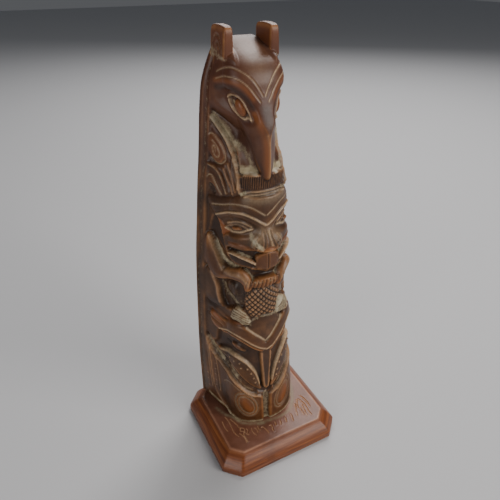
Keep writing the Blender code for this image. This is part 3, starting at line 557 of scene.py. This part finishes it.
def carve_lower_bird(c):
    """Lower figure: V brow band, narrow eyes, beak, spotted leaves and two ovals at the foot."""
    c.form([(-4, 78.2), (4.6, 77.6), (8, 73.6), (10.2, 71.4), (18, 71), (26, 71.4), (38, 73), (38.8, 66),
            (39.2, 54), (33, 50), (27, 47), (20, 43), (12, 35.8), (4, 30), (-4, 29)], -2.9, edge=1.4,
           tone=-0.4)
    c.form([(38, 74.6), (26, 72.6), (24, 69.6), (26, 66), (29.6, 61.4), (31.6, 54), (38.4, 52)], -1.3,
           edge=2.4)
    recess = [(38.4, 55.6), (34.6, 50.8), (29.6, 48.4), (24.4, 46.6), (18.4, 42.8), (12.4, 37.6), (6, 33.2),
              (6, 28.6), (13, 32.2), (20, 36.6), (28, 41), (35.4, 45.4)]
    c.form(recess, -2.7, edge=1.2, dirt=0.25, tone=-0.1)
    c.soil([(37.4, 52.6), (33.4, 47.4), (29, 44.2)], 0.42, 1.8)
    c.soil([(22, 42.2), (18, 39.4)], 0.35, 1.4)
    c.form([(-4, 78.4), (2, 78.4), (5.6, 77.4), (7.8, 75), (9.4, 71.6), (5.4, 67.6), (0.8, 63.2), (-4, 63)],
           -0.6, 0.9, 2.6)
    c.soil([(8, 73.4), (7, 76), (3.6, 77.6), (0, 78)], 0.45, 0.9)
    upper = [(10, 71.8), (6.2, 68.7), (2.4, 65.4), (0.2, 63)]
    lower = [(28, 64), (23, 65.6), (19.4, 66.9), (15.2, 66.9), (11.2, 65.4), (7.2, 62.6), (3.4, 60.1),
             (0, 58.6)]
    band = [(33.6, 72), (26, 70.8), (20, 72), (14.4, 72.6), (10.6, 72), (6.2, 68.5), (2.4, 65.1), (0, 62.6),
            (-4, 62.2), (-4, 56.4), (2, 56.6), (4.6, 57.8), (7.6, 59.6), (11, 61.8), (16, 63.6), (21, 63.2),
            (27.4, 62.4), (33.4, 65)]
    c.form(band, 0.2, 0.9, 1.3, tone=0.1)
    c.ridge(upper, 0.25, 0.36, pale=0.85)
    c.ridge(lower, 0.35, 0.4, pale=0.85)
    c.cut([(a, z - 1) for a, z in lower], 0.45, 0.42, pale=0)
    c.tint([(26, 61.8), (18, 63.6), (12, 62), (7, 59.6), (3, 57.8)], 0.55, 0.9)
    c.ridge([(34, 73), (28.6, 70.2), (24, 68.6)], -0.7, 0.6, tone=0.5)
    c.ridge([(36, 69.6), (31.6, 67.8), (26, 66.4)], -0.7, 0.6, tone=0.4)
    c.tint([(33, 71), (27, 69.6)], 0.8, 0.8)
    c.tint([(32, 65), (26, 62.6)], 0.8, 1.1)
    lids = [(22, 58.2), (19, 59.6), (15.4, 59.4), (12.2, 57.8), (10.6, 56), (14, 55.8), (18.6, 56.2)]
    c.swell(lids, 1.2, -0.4, 1.2)
    c.tint([(19.6, 58.2), (15.6, 58)], 0.9, 0.8)
    c.ridge([(25, 57.4), (20, 55.6), (14, 55.2), (10.4, 56.4)], -0.4, 0.5, tone=-0.8)
    beak = [(-4, 57), (2.6, 56.8), (2.7, 50), (2.1, 42), (1.4, 33), (-4, 31.6)]
    c.form(beak, -0.7, edge=0.8, tone=-0.4)
    c.ridge([(2.3, 55.6), (2.4, 50), (1.8, 42), (1, 33.6)], 0.3, 0.5, pale=0.15, tone=0.9)
    leaf = [(31, 50.6), (24.6, 51.4), (21.4, 52.3), (17.4, 52.6), (13.4, 51.5), (10.4, 49.7), (7.9, 46.9),
            (5.9, 43.9), (4.5, 39.8), (3.4, 35.6), (2.8, 32.2), (6.6, 34), (10.6, 37.2), (14.6, 41),
            (17.6, 43.8), (22.6, 46.2), (27.6, 48.2)]
    c.form(leaf, -0.9, 0.3, 0.8, edge=0.8)
    c.ridge([(28.4, 50.6), (24.6, 51.4), (21.4, 52.2), (17.4, 52.5), (13.4, 51.4), (10.4, 49.6), (7.9, 46.8),
             (5.9, 43.8), (4.5, 39.8), (3.5, 36)], 0.7, 0.48, pale=0.8)
    c.cut([(28, 49.4), (23.6, 50.1), (20.4, 50.9), (16.6, 51.1), (13.6, 49.9), (11.2, 48.3), (8.9, 45.6),
           (7, 42.4), (5.4, 38.5), (4.5, 35.2)], 0.3, 0.3, pale=0.1)
    c.dots([(21.8, 49.4), (18.2, 49), (14.6, 49), (13.8, 46.2), (10.2, 46.2), (8.3, 43.4), (7, 40.2),
            (6.2, 37.4)])
    line = [(38.4, 53), (37, 48.6), (34.6, 44.6), (29.6, 41.8), (26, 39.6), (22, 37.8), (18, 35.9),
            (14, 33.3), (11.4, 31.2), (7.6, 28.9), (3.4, 27.6)]
    skirt = line + [(2, 27.2), (-4, 27), (-4, 4), (40.6, 4), (40.6, 40), (39.4, 52.6)]
    c.form(skirt, -0.6, 0.2, tone=0.15)
    c.ridge(line, 0.75, 0.6, pale=0.3, tone=0.3)
    c.ridge([(a + 0.2, z + 2.3) for a, z in line[3:-1]], 0.5, 0.7, dirt=0.15)
    c.cut([(a, z - 1.3) for a, z in line[2:-1]], 0.35, 0.34, pale=0.15)
    c.cut([(27, 31), (24, 33), (21, 33.6), (17.4, 32.8), (14.6, 31.4)], 0.25, 0.3, pale=0.4)
    for middle, half in (((11.4, 22.3), (8.2, 5.8)), ((11.2, 22.1), (6.2, 3.9))):
        ring = oval(middle, half, 62)
        c.cut(ring + ring[:1], 0.5, 0.36, pale=0.45)
    c.swell(oval((11.2, 22.1), (5.7, 3.4), 62), 0.5, 0, 2.2)
    c.tint([(9.8, 19.4), (12.4, 24.6)], 0.7, 2.4)
    c.form([(-4, 29.4), (0.8, 29), (1.8, 27.2), (1.6, 20), (1.5, 12), (1.7, 5), (-4, 5)], -2.2, edge=0.7,
           dirt=0.5)
    c.ridge([(3, 27), (2.8, 12)], 0.3, 0.7, tone=0.2)
    long_fold = [(37.4, 47), (36.8, 40), (36.2, 30), (35.2, 22), (31.6, 16.4), (27, 13.2), (22, 11)]
    folds = ((long_fold, 0.7), ([(32.6, 43), (31.4, 36), (30.4, 28), (30, 22)], 0.5),
             ([(39, 52), (38.6, 40), (38.2, 28), (37.4, 20)], 0.5))
    for line, height in folds:
        c.ridge(line, height, 0.55, pale=0.15)
        c.ridge([(a + 1.3, z) for a, z in line], -0.45, 0.5, dirt=0.25)
    c.dots([(40.2 + 0.03 * z, z) for z in (44, 40, 36, 31.6, 27.2, 22.8, 18.4)], 0.4, 0.55, pale=0.4)
    c.dots([(33.6, z) for z in (38, 34.4, 30.8, 27.2, 23.6)], 0.3, 0.5, pale=0.4)
    c.tint([(28, 24), (24, 18), (19, 15)], -0.6, 3.4)
    c.soil([(34, 24), (27, 15), (20, 12)], 0.2, 1.6)
    c.soil([(-4, 10), (12, 10), (20, 10.6), (28, 12.2), (34, 11.6), (44, 12)], 0.8, 1.3)


def section(z):
    """Half of the column's outline at one height, with its arc length, from the front to the back."""
    width, front, share, square = (np.interp(z, OUTLINE[:, 0], OUTLINE[:, k]) for k in (1, 2, 3, 4))
    turn = np.linspace(0.0, np.pi / 2, FRONT_SAMPLES)
    middle = front + SIDE_START * min(1.0, (BACK - front) / FOOT_DEPTH)
    x = share * width * np.sin(turn) ** (2 / square)
    y = middle - (middle - front) * np.cos(turn) ** (2 / square)
    x = np.append(x, np.linspace(x[-1], width, SIDE_SAMPLES)[1:])
    y = np.append(y, np.linspace(middle, BACK, SIDE_SAMPLES)[1:])
    way = np.append(0.0, np.cumsum(np.hypot(np.diff(x), np.diff(y))))
    return way, x, y


def lay_column():
    """Plain column as a grid of places with their outward directions, arc lengths and half ways round."""
    climb = np.append(0.0, np.cumsum(np.hypot(np.diff(OUTLINE[:, 0]), np.diff(OUTLINE[:, 2]))))
    rise = np.interp(np.linspace(0.0, climb[-1], ROWS), climb, OUTLINE[:, 0])
    spread = np.linspace(-1.0, 1.0, FRONT_COLUMNS)
    share = np.interp(spread, (-1.0, -SEEN_COLUMNS, SEEN_COLUMNS, 1.0), (-1.0, -SEEN_SHARE, SEEN_SHARE, 1.0))
    places, arcs, half_ways = [], [], []
    for z in rise:
        way, x, y = section(z)
        s = share * way[-1]
        places.append(np.column_stack((np.interp(np.abs(s), way, x) * np.sign(s),
                                       np.interp(np.abs(s), way, y), np.full(s.shape, z))))
        arcs.append(s)
        half_ways.append(np.full(s.shape, way[-1]))
    places = np.array(places)
    outward = np.cross(np.gradient(places, axis=1), np.gradient(places, axis=0))
    outward /= np.linalg.norm(outward, axis=2)[..., None]
    return places, outward, np.array(arcs), np.array(half_ways)


def blurred(grid, passes):
    """A grid averaged with its neighbours again and again."""
    g = grid.copy()
    for _ in range(passes):
        p = np.pad(g, 1, mode="edge")
        g = (p[1:-1, :-2] + p[1:-1, 2:] + p[:-2, 1:-1] + p[2:, 1:-1] + 2 * p[1:-1, 1:-1]) / 6.0
    return g


def carve_column():
    """Points of the carved skin and their colouring by name."""
    places, outward, arcs, half_ways = lay_column()
    z = places[..., 2]
    side = arcs - np.interp(z, MIDDLES[:, 0], MIDDLES[:, 1])
    beyond = np.clip(side - CLIMB_START, 0.0, CLIMB_REACH)
    climb = np.interp(z, RIGHT_CLIMBS[:, 0], RIGHT_CLIMBS[:, 1]) * beyond
    carving = Carving(np.abs(side).ravel(), (z - climb).ravel(), np.sign(side).ravel())
    carve_side(carving, half_ways.ravel())
    plain = {name: getattr(carving, name).copy() for name in ("h", "dirt", "tone", "pale")}
    for cut in (carve_beaver, carve_lower_bird, carve_bird):
        cut(carving)
    inner = smooth(0.0, STRIP_FADE, half_ways - STRIP_WIDTH - np.abs(arcs))
    layers = {}
    for name, start in plain.items():
        layers[name] = start.reshape(z.shape) + (getattr(carving, name) - start).reshape(z.shape) * inner
    h = layers.pop("h") * (1.0 - smooth(*CROWN_PLAIN, z))
    h[:, 0] = h[:, -1] = 0.0
    points = places + outward * h[..., None]
    points[..., 1] = np.minimum(points[..., 1], BACK)
    points[..., 2] = np.maximum(points[..., 2], places[0, 0, 2])
    points[0, :, 2] = places[0, 0, 2]
    fine, broad = h - blurred(h, FINE_BLUR), h - blurred(h, BROAD_BLUR)
    layers["wear"] = np.clip(smooth(0.04, 0.32, fine) * 0.55 + smooth(0.4, 1.8, broad) * 0.45, 0.0, 1.0)
    layers["hollow"] = np.clip(smooth(0.05, 0.4, -fine) * 0.5 + smooth(0.4, 2.2, -broad) * 0.6, 0.0, 1.0)
    return points, layers


def only(thing):
    """Make one object the active and only selected one."""
    bpy.ops.object.select_all(action="DESELECT")
    thing.select_set(True)
    bpy.context.view_layer.objects.active = thing


def set_attribute(mesh, name, values):
    """Write one number for each point of a mesh."""
    layer = mesh.attributes.new(name, "FLOAT", "POINT")
    layer.data.foreach_set("value", np.ascontiguousarray(values, dtype=np.float32).ravel())


def turn_outward():
    """Turn all faces of the mesh being edited outward and leave edit mode."""
    bpy.ops.mesh.select_all(action="SELECT")
    bpy.ops.mesh.normals_make_consistent(inside=False)
    bpy.ops.object.mode_set(mode="OBJECT")


def wrap_grid(name, points, layers, material):
    """A grid of points in millimetres, row by row and closed round, made a solid skin with capped ends."""
    rows, columns = points.shape[:2]
    bpy.ops.object.select_all(action="DESELECT")
    bpy.ops.mesh.primitive_grid_add(x_subdivisions=columns, y_subdivisions=rows - 1, size=1.0)
    thing = bpy.context.object
    thing.name = name
    mesh = thing.data
    points = np.concatenate((points, points[:, :1]), axis=1)
    mesh.vertices.foreach_set("co", np.ascontiguousarray(points * MM, dtype=np.float32).ravel())
    for label, grid in layers.items():
        set_attribute(mesh, label, np.concatenate((grid, grid[:, :1]), axis=1))
    bpy.ops.object.mode_set(mode="EDIT")
    bpy.ops.mesh.select_all(action="SELECT")
    bpy.ops.mesh.remove_doubles(threshold=MERGE_DISTANCE)
    bpy.ops.mesh.select_all(action="DESELECT")
    bpy.ops.mesh.select_non_manifold()
    bpy.ops.mesh.edge_face_add()
    turn_outward()
    mesh.materials.append(material)
    return thing


def make_pole(material):
    """Carved column with its two ears joined on."""
    points, layers = carve_column()
    pole = wrap_grid("carved_pole", points, layers, material)
    for side in (-1, 1):
        ear = make_ear(side, material)
        only(pole)
        union = pole.modifiers.new("ear", "BOOLEAN")
        union.operation = "UNION"
        union.solver = "EXACT"
        union.object = ear
        bpy.ops.object.modifier_apply(modifier=union.name)
        bpy.data.objects.remove(ear, do_unlink=True)
    colour_ears(pole.data)
    only(pole)
    bpy.ops.object.shade_smooth()
    return pole


def ear_marks(y, z):
    """Ovals cut into the outer face of an ear."""
    marks = Carving(y, z)
    for line in ([(13.2, 191.8), (13.2, 194.8), (15.4, 198.4), (18.6, 199.0), (21.0, 196.4), (21.6, 192.6)],
                 [(15.0, 192.4), (15.2, 194.6), (17.0, 196.4), (19.0, 195.0), (19.4, 192.4)],
                 [(16.6, 192.8), (17.3, 194.2), (18.0, 192.8)]):
        marks.cut(line, 0.4, 0.36, pale=0.35)
    return marks


def colour_ears(mesh):
    """Worn warm ears with dirt at their feet, in place of the colouring lost in the union."""
    co = np.zeros(len(mesh.vertices) * 3)
    mesh.vertices.foreach_get("co", co)
    x, y, z = co.reshape(-1, 3).T / MM
    x = np.abs(x)
    climb = (z - EAR_FOOT) / (EAR_TOP - EAR_FOOT)
    outer = EAR_OUTER_FOOT + (EAR_OUTER_TOP - EAR_OUTER_FOOT) * climb
    u = 2.0 * (x - EAR_INNER) / (outer - EAR_INNER) - 1.0
    v = 2.0 * (y - EAR_FRONT) / (EAR_BACK - EAR_FRONT) - 1.0
    top = np.maximum(2.0 * climb - 1.0, 0.0)
    there = (np.abs(u) < 1.08) & (np.abs(v) < 1.05) & (z > 190.4)
    there &= np.max(np.abs(np.stack((u, v, top))), axis=0) > 0.82
    edge = np.sort(np.abs(np.stack((u, v, top))), axis=0)[1]
    outside = smooth(0.8, 0.9, u)
    marks = ear_marks(y, z)
    values = {
        "dirt": 0.5 * smooth(192.6, 191.2, z + 0.3 * (12.0 - y)),
        "tone": 0.1 + 0.35 * top,
        "pale": marks.pale * outside,
        "wear": 0.9 * smooth(0.72, 0.95, edge),
        "hollow": np.clip(-3.0 * marks.h, 0.0, 1.0) * outside,
    }
    for name, value in values.items():
        layer = mesh.attributes[name]
        grid = np.zeros(len(x))
        layer.data.foreach_get("value", grid)
        layer.data.foreach_set("value", np.where(there, value, grid))


def make_ear(side, material):
    """Upright ear block with worn round edges and ovals cut into its outer face."""
    bpy.ops.object.select_all(action="DESELECT")
    bpy.ops.mesh.primitive_cube_add(size=2.0)
    ear = bpy.context.object
    ear.name = "ear"
    bpy.ops.object.mode_set(mode="EDIT")
    bpy.ops.mesh.select_all(action="SELECT")
    bpy.ops.mesh.subdivide(number_cuts=EAR_CUTS)
    bpy.ops.object.mode_set(mode="OBJECT")
    mesh = ear.data
    co = np.zeros(len(mesh.vertices) * 3)
    mesh.vertices.foreach_get("co", co)
    u, v, w = co.reshape(-1, 3).T
    top = np.maximum(w, 0.0)
    biggest = np.maximum(np.maximum(np.abs(u), np.abs(v)), top)
    rounded = sum(abs(k) ** EAR_SQUARENESS for k in (u, v, top)) ** (1.0 / EAR_SQUARENESS)
    scale = biggest / np.maximum(rounded, 1e-6)
    u, v, w = u * scale, v * scale, np.where(w > 0.0, w * scale, w)
    z = EAR_FOOT + (EAR_TOP - EAR_FOOT) * (w + 1.0) / 2.0 + 0.3 * np.cos(2.2 * v) * top
    tuck = smooth(191.6, 187.0, z)
    outer = EAR_OUTER_FOOT + (EAR_OUTER_TOP - EAR_OUTER_FOOT) * (w + 1.0) / 2.0 - 3.0 * tuck
    front = EAR_FRONT + 3.5 * tuck
    x = EAR_INNER + (outer - EAR_INNER) * (u + 1.0) / 2.0
    y = front + (EAR_BACK - front) * (v + 1.0) / 2.0
    x = x + ear_marks(y, z).h * smooth(0.86, 0.97, u)
    mesh.vertices.foreach_set("co", (np.stack((side * x, y, z), axis=1) * MM).astype(np.float32).ravel())
    mesh.materials.append(material)
    only(ear)
    bpy.ops.object.mode_set(mode="EDIT")
    turn_outward()
    return ear


def octagon_ring(half_width, half_depth, corner, count):
    """Points round a rectangle with cut corners, evenly spaced, each corner a little eased."""
    x, y, x_cut, y_cut = half_width, half_depth, half_width - corner, half_depth - corner
    outline = [(x, -y_cut), (x, y_cut), (x_cut, y), (-x_cut, y), (-x, y_cut), (-x, -y_cut), (-x_cut, -y),
               (x_cut, -y)]
    p = np.array(outline + outline[:1])
    way = np.append(0.0, np.cumsum(np.hypot(*np.diff(p, axis=0).T)))
    s = np.linspace(0.0, way[-1], count, endpoint=False)
    ring = np.column_stack((np.interp(s, way, p[:, 0]), np.interp(s, way, p[:, 1])))
    for _ in range(BASE_CORNER_EASE):
        ring = (np.roll(ring, 1, axis=0) + 2 * ring + np.roll(ring, -1, axis=0)) / 4.0
    return ring


def make_plinth(material):
    """Flared plinth with cut corners, a worn rim and roots scratched into its top."""
    top, foot = np.array(BASE_TOP_HALF), np.array(BASE_FOOT_HALF)
    profile = [(0.0, -1.1, 0.0), (0.0, -0.35, 0.0), (0.18, -0.05, 0.0), (0.6, 0.0, 0.0)]
    profile += [(z, -0.03 * z, 0.0) for z in np.linspace(1.2, BASE_LIP, 3)]
    for t in np.linspace(0.06, 1.0, 22):
        turn = t * np.pi / 2
        profile.append((BASE_LIP + (BASE_HEIGHT - 0.5 - BASE_LIP) * (0.55 * t + 0.45 * np.sin(turn)),
                        -0.08, 0.75 * t + 0.25 * (1.0 - np.cos(turn))))
    profile += [(BASE_HEIGHT - 0.22, -0.12, 1.0), (BASE_HEIGHT - 0.05, -0.35, 1.0), (BASE_HEIGHT, -0.7, 1.0)]
    profile += [(BASE_HEIGHT, -0.7 - inset, 1.0) for inset in np.linspace(0.4, BASE_TOP_BAND, 44)]
    rows = []
    for z, inset, t in profile:
        half = foot + (top - foot) * t + inset
        corner = BASE_FOOT_CORNER + (BASE_TOP_CORNER - BASE_FOOT_CORNER) * t + 0.4 * min(inset, 0.0)
        ring = octagon_ring(half[0], half[1], max(corner, 0.6), BASE_COLUMNS)
        rows.append(np.column_stack((ring, np.full(len(ring), z))))
    points = np.array(rows)
    x, y, z = points[..., 0], points[..., 1], points[..., 2]
    marks = Carving(x.ravel(), y.ravel())
    for line in SCRATCHES:
        marks.cut(line, 0.25, 0.26, pale=0.9)
    marks.soil([(-23.5, 8), (-21, 1.6), (-17.4, -2.4), (-15.2, -7.6), (-8, -11.4), (0, -12.8), (8, -12.8),
                (14, -10.0), (20, -1.0), (23.6, 8)], 0.75, 0.9)
    marks.soil([(-17.6, -2.0), (-16.4, -5.0)], 0.7, 1.1)
    marks.soil([(-8.0, -12.4), (-5.0, -13.2)], 0.5, 1.0)
    on_top = z >= BASE_HEIGHT - 0.01
    points[..., 2] += np.where(on_top, marks.h.reshape(z.shape), 0.0)
    rim = np.exp(-((z - BASE_HEIGHT + 0.2) / 0.35) ** 2)
    inward = np.array([p[1] for p in profile])[:, None]
    rim *= smooth(-1.4, -0.6, inward)
    layers = {"wear": rim}
    for name in ("dirt", "pale"):
        layers[name] = np.where(on_top, getattr(marks, name).reshape(z.shape), 0.0)
    plinth = wrap_grid("worn_plinth", points, layers, material)
    only(plinth)
    bpy.ops.object.shade_smooth_by_angle(angle=math.radians(SHARP_ANGLE))
    return plinth


def make_mottle():
    """Group: blotchy tone and fine grain, both from 0 to 1."""
    tree = bpy.data.node_groups.new("mottle", "ShaderNodeTree")
    tree.interface.new_socket("Vector", in_out="INPUT", socket_type="NodeSocketVector")
    for name, _ in MOTTLES:
        tree.interface.new_socket(name + " Scale", in_out="INPUT", socket_type="NodeSocketFloat")
        tree.interface.new_socket(name, in_out="OUTPUT", socket_type="NodeSocketFloat")
    start, end = tree.nodes.new("NodeGroupInput"), tree.nodes.new("NodeGroupOutput")
    for name, detail in MOTTLES:
        texture = tree.nodes.new("ShaderNodeTexNoise")
        texture.inputs["Detail"].default_value = detail
        texture.inputs["Roughness"].default_value = MOTTLE_ROUGHNESS
        tree.links.new(start.outputs["Vector"], texture.inputs["Vector"])
        tree.links.new(start.outputs[name + " Scale"], texture.inputs["Scale"])
        tree.links.new(texture.outputs["Fac"], end.inputs[name])
    return tree


class Surface:
    """Node tree of one material. Its methods add nodes and hand back their output sockets."""

    def __init__(self, name, mottle, blotch_scale, grain_scale):
        self.material = bpy.data.materials.new(name)
        self.material.use_nodes = True
        self.tree = self.material.node_tree
        self.place = self.tree.nodes.new("ShaderNodeTexCoord").outputs["Object"]
        spots = self.tree.nodes.new("ShaderNodeGroup")
        spots.node_tree = mottle
        self.tree.links.new(self.place, spots.inputs["Vector"])
        spots.inputs["Blotch Scale"].default_value = blotch_scale
        spots.inputs["Grain Scale"].default_value = grain_scale
        self.blotch, self.grain = spots.outputs["Blotch"], spots.outputs["Grain"]

    def node(self, kind, vector=None, **values):
        """Add a node, feed its vector and set its other inputs by name."""
        made = self.tree.nodes.new(kind)
        if vector is not None:
            self.tree.links.new(vector, made.inputs["Vector"])
        for key, value in values.items():
            made.inputs[key].default_value = value
        return made

    def attribute(self, name):
        """One of the mesh's own values."""
        made = self.tree.nodes.new("ShaderNodeAttribute")
        made.attribute_name = name
        return made.outputs["Fac"]

    def noise(self, vector, scale, detail=4.0, roughness=0.6):
        """Cloudy values from about 0.2 to 0.8."""
        return self.node("ShaderNodeTexNoise", vector, Scale=scale, Detail=detail,
                         Roughness=roughness).outputs["Fac"]

    def ramp(self, source, stops):
        """Colour ramp fed by a socket."""
        made = self.tree.nodes.new("ShaderNodeValToRGB")
        elements = made.color_ramp.elements
        while len(elements) < len(stops):
            elements.new(0.5)
        for element, (place, colour) in zip(elements, stops):
            element.position = place
            element.color = (*colour, 1.0)
        self.tree.links.new(source, made.inputs["Fac"])
        return made.outputs["Color"]

    def mix(self, factor, first, second):
        """Colour mix where each of the three may be a socket or a value."""
        made = self.tree.nodes.new("ShaderNodeMix")
        made.data_type = "RGBA"
        for key, value in (("Factor_Float", factor), ("A_Color", first), ("B_Color", second)):
            socket = next(i for i in made.inputs if i.identifier == key)
            if isinstance(value, bpy.types.NodeSocket):
                self.tree.links.new(value, socket)
            else:
                socket.default_value = value if key == "Factor_Float" else (*value, 1.0)
        return next(o for o in made.outputs if o.identifier == "Result_Color")

    def maths(self, kind, *inputs, clamp=False):
        """Math node where each input may be a socket or a number."""
        made = self.tree.nodes.new("ShaderNodeMath")
        made.operation = kind
        made.use_clamp = clamp
        for socket, value in zip(made.inputs, inputs):
            if isinstance(value, bpy.types.NodeSocket):
                self.tree.links.new(value, socket)
            else:
                socket.default_value = value
        return made.outputs["Value"]

    def times(self, first, second, clamp=False):
        """Product of two values."""
        return self.maths("MULTIPLY", first, second, clamp=clamp)

    def fit(self, value, factor, shift, clamp=False):
        """A value times a factor, plus a shift."""
        return self.maths("MULTIPLY_ADD", value, factor, shift, clamp=clamp)

    def finish(self, colour, rough, specular, coat, coat_roughness, height):
        """Lead colour, roughness and bump into the shader, set its sheen and hand back the material."""
        shader = self.tree.nodes["Principled BSDF"]
        self.tree.links.new(colour, shader.inputs["Base Color"])
        self.tree.links.new(rough, shader.inputs["Roughness"])
        shader.inputs["Specular IOR Level"].default_value = specular
        shader.inputs["Coat Weight"].default_value = coat
        shader.inputs["Coat Roughness"].default_value = coat_roughness
        bump = self.node("ShaderNodeBump", Strength=BUMP_STRENGTH, Distance=BUMP_DISTANCE)
        self.tree.links.new(height, bump.inputs["Height"])
        self.tree.links.new(bump.outputs["Normal"], shader.inputs["Normal"])
        return self.material


def make_carved_material(mottle):
    """Dark brown patina, orange worn edges, rubbed pale lines with a few painted highlights, painted shade
    in a few places, and pale dirt in the hollows.
    """
    s = Surface("patinated_carving", mottle, 95.0, 1400.0)
    wear, hollow, dirt, tone, pale = (s.attribute(n) for n in ("wear", "hollow", "dirt", "tone", "pale"))
    base = s.ramp(s.blotch, PATINA_STOPS)
    up = s.node("ShaderNodeSeparateXYZ", s.place).outputs["Z"]
    head = s.fit(up, 25.0, -3.3, clamp=True)
    base = s.mix(s.times(head, 0.55), base, HEAD_RED)
    warm = s.times(tone, 0.9, clamp=True)
    base = s.mix(warm, base, WARM_BROWN)
    # Dark tone: the carving's own dark parts, and painted shade under the bird's head, beside its beak,
    # under its brow and under the beaver's chin
    cool = s.times(tone, -0.9, clamp=True)
    base = s.mix(cool, base, DARK_BROWN)
    rubbed = s.times(wear, s.fit(s.blotch, 2.4, -0.5), clamp=True)
    base = s.mix(rubbed, base, RUBBED_ORANGE)
    sunk = s.times(hollow, s.maths("SUBTRACT", 0.8, warm, clamp=True))
    base = s.mix(sunk, base, HOLLOW_BROWN)
    speckle = s.fit(s.noise(s.place, 900.0, 5.0, 0.7), 3.0, -1.0, clamp=True)
    # Pale values: polished lips of cut lines, and painted highlights where the carving lays pale on bare
    # surfaces
    base = s.mix(s.times(pale, s.fit(speckle, 0.5, 0.45), clamp=True), base, POLISHED_AND_SHEEN)
    patchy = s.fit(s.noise(s.place, 700.0, 5.0, 0.7), 2.8, -0.95, clamp=True)
    bare = s.fit(patchy, -1.0, 1.0)
    soiled = s.fit(dirt, 1.6, s.times(bare, -0.85), clamp=True)
    chalk = s.ramp(s.noise(s.place, 260.0), DIRT_STOPS)
    chalk = s.mix(s.times(pale, 1.2, clamp=True), chalk, CHALK)
    rough = s.fit(soiled, 0.30, s.fit(s.grain, 0.16, 0.28))
    rough = s.fit(s.blotch, 0.08, rough, clamp=True)
    return s.finish(s.mix(soiled, base, chalk), rough, 0.40, 0.04, 0.28,
                    s.fit(s.blotch, 0.5, s.times(s.grain, 0.5)))


def make_base_material(mottle):
    """Red brown plinth: pinkish rubbed top with a painted sheen, streaked orange sides, bright edges and
    dark patches.
    """
    s = Surface("worn_plinth", mottle, 70.0, 1500.0)
    stretch = s.node("ShaderNodeMapping", s.place, Scale=(35.0, 35.0, 900.0))
    streak = s.noise(stretch.outputs["Vector"], 1.0)
    normal = s.tree.nodes.new("ShaderNodeNewGeometry").outputs["Normal"]
    # Faces pointing up take the paler top colours: the top's painted sheen
    sheen_top_share = s.fit(s.node("ShaderNodeSeparateXYZ", normal).outputs["Z"], 5.0, -4.2, clamp=True)
    side = s.ramp(streak, PLINTH_SIDE_STOPS)
    dark = s.fit(s.blotch, -5.0, 2.3, clamp=True)
    side = s.mix(s.times(dark, 0.6), side, PLINTH_DARK)
    top = s.ramp(s.blotch, PLINTH_TOP_SHEEN_STOPS)
    wear, dirt, pale = (s.attribute(n) for n in ("wear", "dirt", "pale"))
    base = s.mix(sheen_top_share, side, top)
    base = s.mix(s.times(wear, s.fit(s.blotch, 1.4, -0.2), clamp=True), base, PLINTH_RIM)
    base = s.mix(s.times(pale, 0.75, clamp=True), base, PLINTH_LINES)
    patchy = s.fit(s.noise(s.place, 600.0, 5.0, 0.7), 2.6, -0.85, clamp=True)
    soiled = s.times(dirt, s.fit(patchy, 0.8, 0.3), clamp=True)
    base = s.mix(soiled, base, PLINTH_DIRT)
    rough = s.fit(soiled, 0.3, s.fit(s.grain, 0.16, 0.26), clamp=True)
    return s.finish(base, rough, 0.4, 0.08, 0.25, s.fit(streak, 0.5, s.grain))


def make_floor():
    """Plain pale floor."""
    bpy.ops.object.select_all(action="DESELECT")
    bpy.ops.mesh.primitive_plane_add(size=FLOOR_SIZE, location=(0.0, 0.0, -FLOOR_DROP))
    floor = bpy.context.object
    floor.name = "floor"
    bpy.ops.object.transform_apply(location=True)
    material = bpy.data.materials.new("pale_floor")
    material.use_nodes = True
    shader = material.node_tree.nodes["Principled BSDF"]
    shader.inputs["Base Color"].default_value = FLOOR_COLOUR
    shader.inputs["Roughness"].default_value = FLOOR_ROUGHNESS
    floor.data.materials.append(material)


def add_light(name, place, size, power, colour):
    """Rectangular lamp pointing at the middle of the column."""
    data = bpy.data.lights.new(name, "AREA")
    data.shape = "RECTANGLE"
    data.size, data.size_y = size
    data.energy = power
    data.color = colour
    lamp = bpy.data.objects.new(name, data)
    lamp.location = place
    direction = np.array(LIGHT_AIM) - np.array(place)
    yaw = math.atan2(direction[0], direction[1])
    pitch = math.atan2(direction[2], math.hypot(direction[0], direction[1]))
    lamp.rotation_euler = (math.pi / 2 + pitch, 0.0, -yaw)
    bpy.context.scene.collection.objects.link(lamp)


def make_studio():
    """Soft studio light: lamps above, in front, behind and to the left, in a dim grey room."""
    for light in LIGHTS:
        add_light(*light)
    world = bpy.data.worlds.new("room")
    world.use_nodes = True
    world.node_tree.nodes["Background"].inputs["Color"].default_value = ROOM_COLOUR
    world.node_tree.nodes["Background"].inputs["Strength"].default_value = ROOM_STRENGTH
    bpy.context.scene.world = world


def make_camera():
    """Camera of the photograph: in front, to the left and above."""
    data = bpy.data.cameras.new("camera")
    data.sensor_width = SENSOR_MM
    data.lens = FOCAL_PIXELS * SENSOR_MM / PHOTO_PIXELS
    camera = bpy.data.objects.new("camera", data)
    camera.location = CAMERA_PLACE
    camera.rotation_euler = (math.radians(90.0 - CAMERA_DOWN), 0.0, math.radians(CAMERA_TURN))
    data.clip_start = CAMERA_NEAR
    bpy.context.scene.collection.objects.link(camera)
    bpy.context.scene.camera = camera


mottle = make_mottle()
pole = make_pole(make_carved_material(mottle))
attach(pole, "root")
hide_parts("pole")
plinth = make_plinth(make_base_material(mottle))
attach(plinth, "root")
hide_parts("base")

make_floor()
make_studio()
make_camera()
